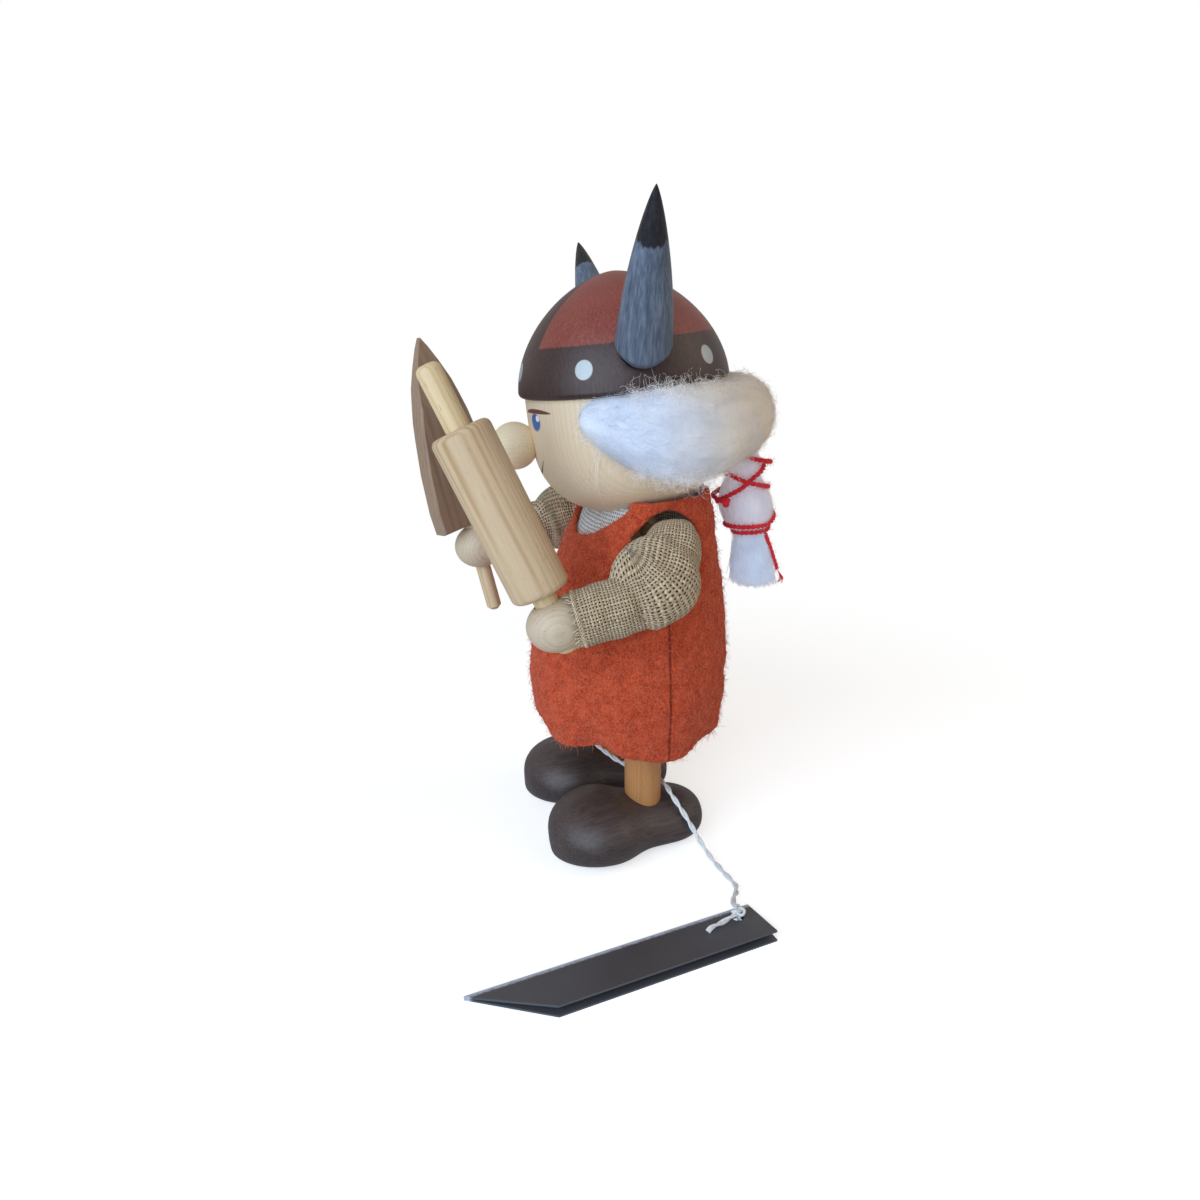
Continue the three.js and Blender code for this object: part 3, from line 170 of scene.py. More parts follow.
bm = bmesh.new()
bmesh.ops.create_circle(bm, cap_ends=True, segments=64, radius=GROUND_RADIUS)
ground = bpy.data.objects.new("ground", bpy.data.meshes.new("ground"))
bm.to_mesh(ground.data)
bm.free()
scene.collection.objects.link(ground)
chalk, tree = finish("chalk_ground")
to_camera = node(tree, "LightPath", out="Is Camera Ray")
matt = node(tree, "BsdfDiffuse", {"Color": GROUND_SHADE})
glow = node(tree, "Emission", {"Color": WHITE, "Strength": to_camera * GROUND_LIFT})
near = node(tree, "AddShader", {0: matt, 1: glow})
distance = node(tree, "VectorMath", {0: node(tree, "TexCoord", out="Object")}, out=1, operation="LENGTH")
far = ranged(distance, *GROUND_CLEAR, interpolation_type="SMOOTHSTEP") * to_camera
plain = node(tree, "Emission", {"Color": WHITE, "Strength": 1.0})
node(tree, "OutputMaterial", {"Surface": node(tree, "MixShader", {0: far, 1: near, 2: plain})})
ground.data.materials.append(chalk)

# Tag string. Two plies of white cotton twisted together, looped round the right leg, led behind the left
# one and over its heel, then along the ground and up through the tag's hole, where it is knotted.
LEG_SPREAD = 0.0142
LEG_RADIUS = 0.005
STRING_RADIUS = 0.0007
STRING_TWIST = 0.0085
STRING_LOOP_HEIGHT = 0.0166
STRING_LOOP_RADIUS = LEG_RADIUS + STRING_RADIUS + 0.0004
STRING_LOOP_TURNS = (120, 154, 188, 222, 256, 290)
STRING_ROUTE = [
    (-0.0076, -0.0046, 0.0159), (-0.001, -0.0024, 0.0157), (0.005, 0.0012, 0.0154),
    (0.0096, 0.0052, 0.0149), (0.014, 0.0068, 0.0145), (0.0176, 0.007, 0.0138),
    (0.0208, 0.0078, 0.0122), (0.0242, 0.0096, 0.0086), (0.0268, 0.0114, 0.0046),
    (0.0315, 0.0129, 0.0015), (0.0376, 0.0138, 0.00085), (0.044, 0.0144, 0.00085),
]
STRING_TO_HOLE = [(0.0042, 0.0023), (0.0012, 0.0029), (0, 0.0022), (0, 0.001)]    # back from it, and height
TAG_LENGTH = 0.071
TAG_HOLE = Vector((TAG_LENGTH - 0.005, -0.0034, 0))
TAG = FIGURE @ Matrix.Translation((0.0585, -0.0565, 0)) @ Matrix.Rotation(math.radians(96), 4, "Z")


def eased(t, start, end, leaving, arriving):
    """A cubic from start to end, given how fast it leaves the one and arrives at the other."""
    return ((2 * t ** 3 - 3 * t * t + 1) * start + (t ** 3 - 2 * t * t + t) * leaving
            + (3 * t * t - 2 * t ** 3) * end + (t ** 3 - t * t) * arriving)


def smooth_way(points, steps):
    """Points evenly spaced along a centripetal Catmull-Rom curve through the given ones."""
    ends = [2 * points[0] - points[1], *points, 2 * points[-1] - points[-2]]
    dense = []
    for p0, p1, p2, p3 in zip(ends, ends[1:], ends[2:], ends[3:]):
        d1, d2, d3 = [max((b - a).length, 1e-7) ** 0.5 for a, b in ((p0, p1), (p1, p2), (p2, p3))]
        m1 = (p1 - p0) / d1 - (p2 - p0) / (d1 + d2) + (p2 - p1) / d2
        m2 = (p2 - p1) / d2 - (p3 - p1) / (d2 + d3) + (p3 - p2) / d3
        dense += [eased(k / 24, p1, p2, m1 * d2, m2 * d2) for k in range(24)]
    dense.append(points[-1].copy())
    walked = [0.0]
    for a, b in zip(dense, dense[1:]):
        walked.append(walked[-1] + (b - a).length)
    way, at = [], 0
    for k in range(steps + 1):
        goal = walked[-1] * k / steps
        while at < len(dense) - 2 and walked[at + 1] < goal:
            at += 1
        span = max(walked[at + 1] - walked[at], 1e-9)
        way.append(dense[at].lerp(dense[at + 1], min(1, max(0, (goal - walked[at]) / span))))
    return way


def way_length(way):
    return sum((b - a).length for a, b in zip(way, way[1:]))


def wound_about(way, radius, pitch, start=0.0):
    """A helix about a way, for one ply of a twisted string."""
    side = Vector((0, 0, 1))
    walked = 0.0
    helix = []
    for k, here in enumerate(way):
        ahead = (way[min(k + 1, len(way) - 1)] - way[max(k - 1, 0)]).normalized()
        side = (side - side.dot(ahead) * ahead).normalized()
        if k:
            walked += (here - way[k - 1]).length
        turn = start + 2 * math.pi * walked / pitch
        helix.append(here + radius * (math.cos(turn) * side + math.sin(turn) * ahead.cross(side)))
    return helix


def two_plies(way, radius, pitch):
    return [wound_about(way, radius, pitch, start) for start in (0, math.pi)]


def baked(body, *spent):
    """The body's mesh as its modifiers leave it. The objects that it was made with are removed."""
    bpy.context.view_layer.update()
    made = bpy.data.meshes.new_from_object(body.evaluated_get(bpy.context.evaluated_depsgraph_get()))
    for used in (body, *spent):
        bpy.data.objects.remove(used)
    return made


def strands(ways, radius, sides=2):
    """A mesh of round strands along the given ways, made with one bevelled curve."""
    curve = bpy.data.curves.new("strands", "CURVE")
    curve.dimensions = "3D"
    curve.bevel_depth = radius
    curve.bevel_resolution = sides
    curve.use_fill_caps = True
    for way in ways:
        spline = curve.splines.new("POLY")
        spline.points.add(len(way) - 1)
        for place, knot in zip(way, spline.points):
            knot.co = (*place, 1)
    body = bpy.data.objects.new("strands", curve)
    scene.collection.objects.link(body)
    return baked(body)


def piece(name, mesh, body, material, smooth=45):
    """Puts a finished mesh in the scene as one piece that rides on a body, in its solid's place."""
    made = bpy.data.objects.new(f"{name}_finished" if name in frame["nodes"] else name, mesh)
    scene.collection.objects.link(made)
    mesh.name = name
    mesh.materials.clear()
    mesh.materials.append(material)
    mesh.shade_smooth()
    if smooth < 180:
        mesh.set_sharp_from_angle(angle=math.radians(smooth))
    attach(made, body)
    if name in frame["nodes"]:
        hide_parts(name)
    return made


def tone(code):
    """A colour as it is seen, such as 0xb84a35, in the shader's own units."""
    parts = [((code >> shift) & 255) / 255 for shift in (16, 8, 0)]
    return tuple(c / 12.92 if c <= 0.04045 else ((c + 0.055) / 1.055) ** 2.4 for c in parts) + (1,)


def ramp(level, *stops):
    """Goes through the stops, each a place and then a colour code or a grey from 0 to 1."""
    made = level.tree.nodes.new("ShaderNodeValToRGB")
    while len(made.color_ramp.elements) < len(stops):
        made.color_ramp.elements.new(0.5)
    for element, (place, colour) in zip(made.color_ramp.elements, stops):
        element.position = place
        element.color = tone(colour) if isinstance(colour, int) else (colour, colour, colour, 1)
    level.tree.links.new(level.socket, made.inputs[0])
    return Level(level.tree, made.outputs[0])


def shaded(made, **inputs):
    """The material with its shader, whose inputs are named with underscores for spaces."""
    named = {key.replace("_", " "): value for key, value in inputs.items()}
    node(made.node_tree, "OutputMaterial", {0: node(made.node_tree, "BsdfPrincipled", named)})
    return made


def placed(tree, place=None, stretch=(1, 1, 1)):
    """Object coordinates, in a piece's own frame and stretched."""
    vector = node(tree, "TexCoord", out="Object")
    if place is not None:
        vector = node(tree, "Mapping", {"Vector": vector, "Location": place.to_translation(),
                                        "Rotation": place.to_euler()}, vector_type="TEXTURE")
    return node(tree, "Mapping", {"Vector": vector, "Scale": stretch})


def speckle(vector, scale, detail=3.0, roughness=0.5, out=0):
    return node(vector.tree, "TexNoise", {"Vector": vector, "Scale": scale, "Detail": detail,
                                          "Roughness": roughness}, out=out)


def bumped(height, distance, strength=1.0):
    return node(height.tree, "Bump", {"Height": height, "Distance": distance, "Strength": strength})


def thread_finish(name, fine, detail, roughness, dark, light, bump, **more):
    """Spun fibres, uneven in tone, from a dark stop to a light one."""
    made, tree = finish(name)
    fuzz = speckle(placed(tree), fine, detail, roughness)
    return shaded(made, Base_Color=ramp(fuzz, dark, light), Normal=bumped(fuzz, bump), **more)


cotton = thread_finish("white_cotton", 5200, 2, 0.5, (0.3, 0xd3d8dc), (0.62, 0xf6f8fa), 0.00008,
                       Roughness=0.85, Sheen_Weight=0.3)
loop = []
for k, degrees in enumerate(STRING_LOOP_TURNS):
    turn = math.radians(degrees)
    loop.append(Vector((-LEG_SPREAD + STRING_LOOP_RADIUS * math.cos(turn),
                        STRING_LOOP_RADIUS * math.sin(turn), STRING_LOOP_HEIGHT - 0.0001 * k)))
to_tag = [TAG @ (TAG_HOLE + Vector((0.3 * back, back, height))) for back, height in STRING_TO_HOLE]
string_way = smooth_way([FIGURE @ Vector(p) for p in [*loop, *STRING_ROUTE]] + to_tag, 420)
plies = two_plies(string_way, 0.5 * STRING_RADIUS, STRING_TWIST)
string = piece("string", strands(plies, 0.52 * STRING_RADIUS), "base", cotton)
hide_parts("tag_string")

# Knot and stitch of the string at the tag. The doubled thread comes up through both leaves, and a short
# stitch of it lies on the top leaf.
KNOT_UP, KNOT_SIZE, KNOT_THREAD = 0.0036, 0.00052, 0.00034
STITCH = [(0.0006, 0.0, 0.0034), (-0.0018, -0.0006, 0.0031), (-0.0052, -0.0011, 0.0027),
          (-0.0086, -0.0016, 0.0026), (-0.0094, -0.0018, 0.0021)]


def overhand(size):
    """A closed trefoil, the form of a simple knot."""
    turns = [2 * math.pi * k / 60 for k in range(61)]
    return [size * Vector((math.sin(t) + 2 * math.sin(2 * t), math.cos(t) - 2 * math.cos(2 * t),
                           -0.9 * math.sin(3 * t))) for t in turns]


knot_middle = TAG @ (TAG_HOLE + Vector((0, 0, KNOT_UP)))
stitch = smooth_way([TAG @ (TAG_HOLE + Vector(p)) for p in STITCH], 40)
knotted = [[knot_middle + p for p in overhand(KNOT_SIZE)], *two_plies(stitch, 0.0003, STRING_TWIST)]
knot = piece("string_knot", strands(knotted, KNOT_THREAD), "base", cotton)


# Tag. A strip of dark grey card folded along its length, with one corner cut on the slant. Its folded edge is
# painted pale blue-white, partly wear to the paler core and partly a painted highlight, and it carries no
# print.
def axes_of(vector):
    parts = vector.tree.nodes.new("ShaderNodeSeparateXYZ")
    vector.tree.links.new(vector.socket, parts.inputs[0])
    return [Level(vector.tree, part) for part in parts.outputs]


def card_finish():
    made, tree = finish("grey_card")
    local = placed(tree, TAG)
    # Painted highlight: a pale blue-white strip along the fold, partly wear to the paler core and partly the
    # light catching it.
    worn = ranged(axes_of(local)[1], -0.0014, 0.0002)
    edge = ramp(worn * speckle(local, 900, 4, 0.7), (0.1, 0.0), (0.34, 1.0))
    smooth_grey = mixed(speckle(local, 60, 3), tone(0x45464a), tone(0x56595f))
    return shaded(made, Base_Color=mixed(edge, smooth_grey, tone(0xc2cee0)), Roughness=0.42,
                  Normal=bumped(speckle(local, 1500, 4, 0.6), 0.00002))


def kept_solid(name, material):
    """Gives a solid that already has the real piece's form its finish."""
    solid = frame["nodes"][name]
    solid.data.materials.clear()
    solid.data.materials.append(material)
    return solid


card = kept_solid("tag_card", card_finish())
round(way_length(string_way), 4)

# Shoes. Two beans turned from wood, flat underneath, dipped in a dark brown stain that leaves a low gloss.
# Each is drilled from above for its leg dowel.
SIDES = {1: "left", -1: "right"}
FOOT_TURN = 6.4
SHOE_TOE, SHOE_HEEL = -0.0272, 0.0175
TOE_RADIUS, TOE_MIDDLE, TOE_HALF_WIDTH, TOE_HEIGHT = 0.0146, -0.0126, 0.0146, 0.0162
HEEL_RADIUS, HEEL_MIDDLE, HEEL_HALF_WIDTH, HEEL_HEIGHT = 0.0111, 0.0064, 0.0111, 0.0124
SHOE_WAIST = 0.0016
SHOE_WIDEST = 0.4              # share of its height where it is widest


def mesh_of(bm, place=None):
    """A bmesh turned into a mesh with its faces outward, in a place."""
    bmesh.ops.remove_doubles(bm, verts=bm.verts, dist=1e-6)
    bmesh.ops.recalc_face_normals(bm, faces=bm.faces)
    if place is not None:
        bm.transform(place)
    made = bpy.data.meshes.new("formed")
    bm.to_mesh(made)
    bm.free()
    return made


def formed(round_steps, long_steps, at):
    """A closed form: a grid wrapped round, its place given for each share round and along."""
    bm = bmesh.new()
    bm.loops.layers.uv.new("threads")
    bmesh.ops.create_grid(bm, x_segments=round_steps, y_segments=long_steps, size=0.5, calc_uvs=True)
    for vert in bm.verts:
        vert.co = at(vert.co.x + 0.5, vert.co.y + 0.5)
    return bm


def bulb(y, middle, radius):
    return math.sqrt(max(0.0, 1 - ((y - middle) / radius) ** 2))


def shoe_point(across, along):
    turn = 2 * math.pi * across
    y = SHOE_TOE + (SHOE_HEEL - SHOE_TOE) * (0.5 - 0.5 * math.cos(math.pi * along))
    back = min(1.0, max(0.0, (y - TOE_MIDDLE) / (HEEL_MIDDLE - TOE_MIDDLE)))
    share = back * back * (3 - 2 * back)
    waist = SHOE_WAIST * math.sin(math.pi * share)
    full = (bulb(min(y, TOE_MIDDLE), TOE_MIDDLE, TOE_RADIUS)
            * bulb(max(y, HEEL_MIDDLE), HEEL_MIDDLE, HEEL_RADIUS))
    half_width = (TOE_HALF_WIDTH * (1 - share) + HEEL_HALF_WIDTH * share - waist) * full
    tall = TOE_HEIGHT * (1 - share) + HEEL_HEIGHT * share
    widest = SHOE_WIDEST * tall
    rise = math.sin(turn)
    if rise > 0:
        z = widest + rise * (tall - 0.5 * waist - widest) * full ** 0.8
    else:
        z = widest * (1 + rise * 1.25 * full ** 0.35)
    return Vector((half_width * math.cos(turn), y, max(0.0, z)))


def stained_finish(name, place, deep, worn, gloss):
    """Wood under a thin stain: the fibres take it unevenly, and the high grain shows through."""
    made, tree = finish(name)
    fibres = speckle(placed(tree, place, (1, 1, 0.06)), 1500, 5, 0.62)
    clouds = speckle(placed(tree, place, (1, 1, 0.4)), 90, 3)
    colour = ramp(fibres * 0.65 + clouds * 0.35, (0.38, deep), (0.62, worn))
    return shaded(made, Base_Color=colour, Roughness=gloss, Specular_IOR_Level=0.55,
                  Normal=bumped(fibres, 0.00006))


def leg_place(side):
    return FIGURE @ Matrix.Translation((side * LEG_SPREAD, 0, 0))


for side, name in SIDES.items():
    foot = leg_place(side) @ Matrix.Rotation(math.radians(side * FOOT_TURN), 4, "Z")
    stain = stained_finish(f"shoe_stain_{name}", foot @ Matrix.Rotation(math.pi / 2, 4, "X"),
                           0x2c2322, 0x504240, 0.46)
    piece(f"shoe_{name}", mesh_of(formed(96, 120, shoe_point), foot), "base", stain, smooth=60)

# Legs. Two 10 mm dowels, glued in the shoes and the torso, left bare, with their grain upright.
LEG_FOOT, LEG_TOP = 0.0073, 0.044
LEG_EDGE = 0.0005


def wood_finish(name, place, pale, dark, gloss=0.5, rings=420.0, fibre=0.35, line=0.5, pores=0x6b4a2c):
    """Bare wood: year rings, drawn out along the piece's own Z, with fine fibres and short pores."""
    made, tree = finish(name)
    wander = speckle(placed(tree, place, (1, 1, 0.15)), 60, 2, out=1)
    drift = node(tree, "VectorMath", {0: wander, 3: 0.0016}, operation="SCALE")
    spread = node(tree, "VectorMath", {0: placed(tree, place, (1, 1, 0.03)), 1: drift}, operation="ADD")
    band = node(tree, "TexWave", {"Vector": spread, "Scale": rings, "Distortion": 1.4, "Detail": 2.0,
                                  "Detail Scale": 1.5}, out=1, wave_type="BANDS", bands_direction="X")
    patch = speckle(placed(tree, place, (1, 1, 0.12)), 170, 2)
    band = band.of("POWER", 2.2) * ramp(patch, (0.35, 0.15), (0.6, 1.0))
    fibres = speckle(placed(tree, place, (1, 1, 0.035)), 2600, 4, 0.6)
    pits = speckle(placed(tree, place, (1, 1, 0.09)), 3600, 2, 0.5)
    colour = ramp(band * line + fibres * fibre, (0.08, pale), (0.75, dark))
    colour = mixed(ramp(pits, (0.66, 0.0), (0.74, 0.5)), colour, tone(pores))
    return shaded(made, Base_Color=colour, Roughness=gloss, Specular_IOR_Level=0.4,
                  Normal=bumped(fibres, 0.00005))


def turned(profile, place, steps=96):
    """A lathe-turned solid from (radius, height) pairs."""
    bm = bmesh.new()
    verts = [bm.verts.new((radius, 0, height)) for radius, height in profile]
    edges = [bm.edges.new(pair) for pair in zip(verts, verts[1:])]
    bmesh.ops.spin(bm, geom=verts + edges, axis=(0, 0, 1), cent=(0, 0, 0), angle=2 * math.pi,
                   steps=steps, use_merge=True)
    return mesh_of(bm, place)


def rounded(radius, low, high, edge, steps=6):
    """The profile of a round bar whose two rims are rounded."""
    rows = [(0, low)]
    for k in range(steps + 1):
        turn = 0.5 * math.pi * k / steps
        rows.append((radius - edge + edge * math.sin(turn), low + edge - edge * math.cos(turn)))
    rows += [(r, low + high - z) for r, z in reversed(rows)]
    return rows


for side, name in SIDES.items():
    dowel = turned(rounded(LEG_RADIUS, LEG_FOOT, LEG_TOP, LEG_EDGE), leg_place(side))
    piece(f"leg_{name}", dowel, "base",
          wood_finish(f"leg_dowel_{name}", leg_place(side), 0xc68c57, 0xa87242, gloss=0.45, rings=560,
                      line=0.25))

# Torso, neck dowel, shoulder pegs and upper arms. A turned egg with a flat base under the dress, the dowels
# that the head and the arms turn on, and the arms inside the sleeves. All are bare wood.
pale_wood = wood_finish("pale_wood", FIGURE, 0xd9c4a6, 0xc2a27c)
dowel_wood = wood_finish("dowel_wood", FIGURE, 0xd2b48c, 0xb28c60)
for name in ("torso", "upper_arm_left", "upper_arm_right"):
    kept_solid(name, pale_wood)
for name in ("neck_dowel", "shoulder_peg_left", "shoulder_peg_right"):
    kept_solid(name, dowel_wood)

# Head. A turned block of pale wood, wider at the brow, sanded and lacquered. Its eyes, brows and mouth are
# painted on. Above the brow it is turned down to a spigot for the helmet, and below it is drilled for the
# neck dowel.
HEAD_TURN, HEAD_NOD = -7.7, 5.5
BRIM = -0.0066
HEAD = (FIGURE @ Matrix.Rotation(math.radians(HEAD_TURN), 4, "Z") @ Matrix.Translation((0, -0.0011, 0.1283))
        @ Matrix.Rotation(math.radians(HEAD_NOD), 4, "X"))
FACE_RADIUS, FACE_DEPTH = 0.0248, 0.0313
HOLLOW_RADIUS, HOLLOW_RISE = 0.0221, 0.0227
FIT_GAP = 0.0003
NECK_RADIUS, NECK_LOW, NECK_TOP = 0.0034, 0.06, 0.1067
EYE_PAINT, BROW_PAINT, LIP_PAINT, SPARK_PAINT = 0x2f5fa8, 0x6d4038, 0x5a3a34, 0xf0f2f4
EYE_AT, EYE_HALF = (0.0077, -0.0118), (0.0023, 0.0021)
SPARK_AT, SPARK_HALF = (0.0089, -0.0109), (0.0008, 0.00072)
BROW_SPAN, BROW_HEIGHT, BROW_BEND, BROW_THICK = (0.0018, 0.0143), -0.0092, -0.0004, 0.00125
LIP_SPAN, LIP_HEIGHT, LIP_BEND, LIP_THICK = (-0.0082, 0.0082), -0.0252, 0.0044, 0.001


def cut(mesh, cutters):
    """The mesh less the cutters, made with one boolean modifier for each."""
    body = bpy.data.objects.new("body", mesh)
    scene.collection.objects.link(body)
    holders = []
    for cutter in cutters:
        holder = bpy.data.objects.new("cutter", cutter)
        scene.collection.objects.link(holder)
        holders.append(holder)
        modifier = body.modifiers.new("cut", "BOOLEAN")
        modifier.object = holder
        modifier.operation = "DIFFERENCE"
        modifier.solver = "EXACT"
    return baked(body, *holders)


def face_reach(down):
    """How far the face stands out, that far below the brow."""
    return FACE_RADIUS * math.sqrt(max(0.0, 1 - (down / FACE_DEPTH) ** 4))


def spot(x, z, at, half, soft=0.12):
    """1 inside an ellipse, 0 outside it."""
    dx, dz = (x - at[0]) / half[0], (z - at[1]) / half[1]
    return ranged((dx * dx + dz * dz).root(), 1 - soft, 1 + soft, 1.0, 0.0)


def brush_line(x, z, span, height, bend, thick):
    """1 on a thin painted stroke: a parabola over a span of x, thinning towards both ends."""
    share = (x - 0.5 * (span[0] + span[1])) / (0.5 * (span[1] - span[0]))
    square = share * share
    width = (square * -1.0 + 1.0).at_least(0.0).root() * (0.5 * thick)
    return ranged(width - abs(z - (square * bend + height)), 0.0, 0.00014)


def face_finish():
    made, tree = finish("painted_face")
    fibres = speckle(placed(tree, HEAD, (1, 1, 0.03)), 2400, 4, 0.6)
    band = node(tree, "TexWave", {"Vector": placed(tree, HEAD, (1, 0.5, 0.04)), "Scale": 330.0,
                                  "Distortion": 2.2,
                                  "Detail": 2.0}, out=1, bands_direction="X")
    colour = ramp(band * 0.12 + fibres * 0.5, (0.15, 0xead6b8), (0.8, 0xd2b48e))
    x, y, z = axes_of(placed(tree, HEAD))
    for mask, paint in ((spot(abs(x), z, EYE_AT, EYE_HALF), EYE_PAINT),
                        (spot(abs(x), z, SPARK_AT, SPARK_HALF), SPARK_PAINT),
                        (brush_line(abs(x), z, BROW_SPAN, BROW_HEIGHT, BROW_BEND, BROW_THICK), BROW_PAINT),
                        (brush_line(x, z, LIP_SPAN, LIP_HEIGHT, LIP_BEND, LIP_THICK), LIP_PAINT)):
        colour = mixed(mask * y.of("LESS_THAN", 0.0), colour, tone(paint))
    return shaded(made, Base_Color=colour, Roughness=0.4, Specular_IOR_Level=0.4,
                  Normal=bumped(fibres, 0.00004))


head_profile = [((HOLLOW_RADIUS - FIT_GAP) * max(0.0, math.cos(t)) ** 0.9,
                 BRIM + (HOLLOW_RISE - FIT_GAP) * math.sin(t))
                for t in [0.5 * math.pi * (1 - k / 16) for k in range(17)]]
for k in range(49):
    down = FACE_DEPTH * math.sin(0.5 * math.pi * k / 48)
    head_profile.append((face_reach(down), BRIM - down))
neck_hole = turned(rounded(NECK_RADIUS, NECK_LOW, NECK_TOP, 0.0002, 2), FIGURE, 32)
piece("head", cut(turned(head_profile, HEAD, 128), [neck_hole]), "head", face_finish(),
      smooth=50)

# Helmet. A turned cap, stained: a dark grey-brown band and a dark wedge at the front and back, with red-brown
# panels between. Six silver dots are painted on the band, and a pocket is bored on each side for a horn.
DOME_RADIUS, DOME_RISE = 0.0263, 0.0269
BRIM_EDGE = 0.0013
BAND_TOP = 0.0048
PAINT_EDGE = 0.00015           # half the width over which one stain passes into the other
DOT_HEIGHT, DOT_RADIUS = -0.0003, 0.0021
DOT_TURNS = (4, 60, 131, 180, -121, -59)      # from the front, towards its left
WEDGE_HALF = 25
HORN_OUT, HORN_BACK, HORN_UP = 0.0264, 0.0005, 0.0046
HORN_LEAN, HORN_TURN = 41.3, 0.8
HORN_FOOT, HORN_LENGTH, HORN_RADIUS = -0.0046, 0.0402, 0.0064


def horn_place(side):
    return (HEAD @ Matrix.Translation((side * HORN_OUT, HORN_BACK, HORN_UP))
            @ Matrix.Rotation(math.radians(side * HORN_LEAN), 4, "Y")
            @ Matrix.Rotation(math.radians(HORN_TURN), 4, "X"))


def horn_profile(grow=0.0):
    rows = []
    for k in range(65):
        a = 0.5 - 0.5 * math.cos(math.pi * k / 64)
        radius = HORN_RADIUS * math.sqrt(min(1.0, 0.35 + a / 0.14)) * max(0.0, 1 - a ** 1.6) ** 0.8
        rows.append((radius + grow * (1 - a), HORN_FOOT - grow + (HORN_LENGTH + grow) * a))
    return [(0.0, rows[0][1]), *rows[:-1], (0.0, rows[-1][1])]


def dots_of(tree, z):
    """1 on the silver dots, each painted square on to the helmet's outside."""
    dots = z * 0.0
    for turn in DOT_TURNS:
        outward = Vector((math.sin(math.radians(turn)), -math.cos(math.radians(turn)), 0))
        beside, facing = [node(tree, "VectorMath", {0: placed(tree, HEAD), 1: way}, out=1,
                               operation="DOT_PRODUCT")
                          for way in (outward.cross(Vector((0, 0, -1))), outward)]
        one = spot(beside, z, (0.0, DOT_HEIGHT), (DOT_RADIUS, DOT_RADIUS), 0.05)
        dots = dots.at_least(one * facing.is_over(0.0))
    return dots


def helmet_finish():
    made, tree = finish("helmet_stain")
    fibres = speckle(placed(tree, HEAD, (1, 1, 0.03)), 2300, 5, 0.62)
    clouds = speckle(placed(tree, HEAD, (1, 1, 0.25)), 110, 3)
    grain = fibres * 0.7 + clouds * 0.3
    panel = ramp(grain, (0.36, 0x70322a), (0.52, 0x863f36), (0.7, 0x9a5448))
    dark = ramp(grain, (0.36, 0x2d1d1c), (0.52, 0x3a2726), (0.7, 0x4a3735))
    x, y, z = axes_of(placed(tree, HEAD))
    ragged = fibres * 0.0006 - 0.0003
    band = ranged(z + ragged - BAND_TOP, PAINT_EDGE, -PAINT_EDGE)
    wedge = ranged(abs(y) * math.tan(math.radians(WEDGE_HALF)) - abs(x) + ragged, -PAINT_EDGE, PAINT_EDGE)
    dots = dots_of(tree, z)
    colour = mixed(dots, mixed(band.at_least(wedge), panel, dark), tone(0xa6adb0))
    return shaded(made, Base_Color=colour, Roughness=ranged(dots, 0.0, 1.0, 0.42, 0.36), Metallic=dots * 0.3,
                  Specular_IOR_Level=0.45, Normal=bumped(fibres, 0.00005))


helmet_profile = []
for k in range(49):
    rise = DOME_RISE - (DOME_RISE - BRIM_EDGE) * math.sin(0.5 * math.pi * k / 48) ** 2
    helmet_profile.append((DOME_RADIUS * max(0.0, 1 - (rise / DOME_RISE) ** 1.85) ** 0.6, BRIM + rise))
brim_radius = helmet_profile[-1][0]
for k in range(1, 9):
    turn = 0.5 * math.pi * k / 8
    helmet_profile.append((brim_radius - BRIM_EDGE * (1 - math.cos(turn)),
                           BRIM + BRIM_EDGE * (1 - math.sin(turn))))
helmet_profile += [(HOLLOW_RADIUS * math.cos(t) ** 0.9 if k < 24 else 0.0, BRIM + HOLLOW_RISE * math.sin(t))
                   for k, t in enumerate(0.5 * math.pi * j / 24 for j in range(25))]
pockets = [turned(horn_profile(FIT_GAP), horn_place(side)) for side in SIDES]
piece("helmet", cut(turned(helmet_profile, HEAD, 160), pockets), "head", helmet_finish(),
      smooth=40)

# Horns. Turned from wood, with a rounded foot glued in the helmet's pocket. They are stained blue-grey, so
# thinly that pale streaks show, and their points are dipped in black.
HORN_DIPPED = (HORN_FOOT + 0.725 * HORN_LENGTH, HORN_FOOT + 0.74 * HORN_LENGTH)


def horn_finish(name, place):
    made, tree = finish(name)
    fibres = speckle(placed(tree, place, (1, 1, 0.05)), 2100, 5, 0.65)
    streaks = speckle(placed(tree, place, (1, 1, 0.12)), 700, 3, 0.55)
    blue = ramp(fibres * 0.6 + streaks * 0.4, (0.34, 0x444d5c), (0.5, 0x5e6a7c), (0.66, 0x7e8b9c),
                (0.8, 0xa8b2bc))
    black = ramp(fibres, (0.4, 0x17171b), (0.7, 0x2d2f36))
    height = axes_of(placed(tree, place))[2] + (streaks * 0.003 - 0.0015)
    return shaded(made, Base_Color=mixed(ranged(height, *HORN_DIPPED), blue, black), Roughness=0.45,
                  Specular_IOR_Level=0.3, Normal=bumped(fibres, 0.00006))


for side, name in SIDES.items():
    piece(f"horn_{name}", turned(horn_profile(), horn_place(side), 64), "head",
          horn_finish(f"horn_stain_{name}", horn_place(side)), smooth=80)

# Nose. A ball of pine, glued on a peg in the face.
NOSE = HEAD @ Matrix.Translation((0, -0.02897, -0.0177))
NOSE_RADIUS = 0.0059
NOSE_GRAIN = Matrix.Rotation(1.1, 4, "Y")
bm = bmesh.new()
bmesh.ops.create_uvsphere(bm, u_segments=64, v_segments=40, radius=NOSE_RADIUS)
piece("nose", mesh_of(bm, NOSE), "head",
      wood_finish("nose_pine", NOSE @ NOSE_GRAIN, 0xfdeac8, 0xe4c396, gloss=0.38, rings=330, line=0.12,
                  fibre=0.4),
      smooth=180)

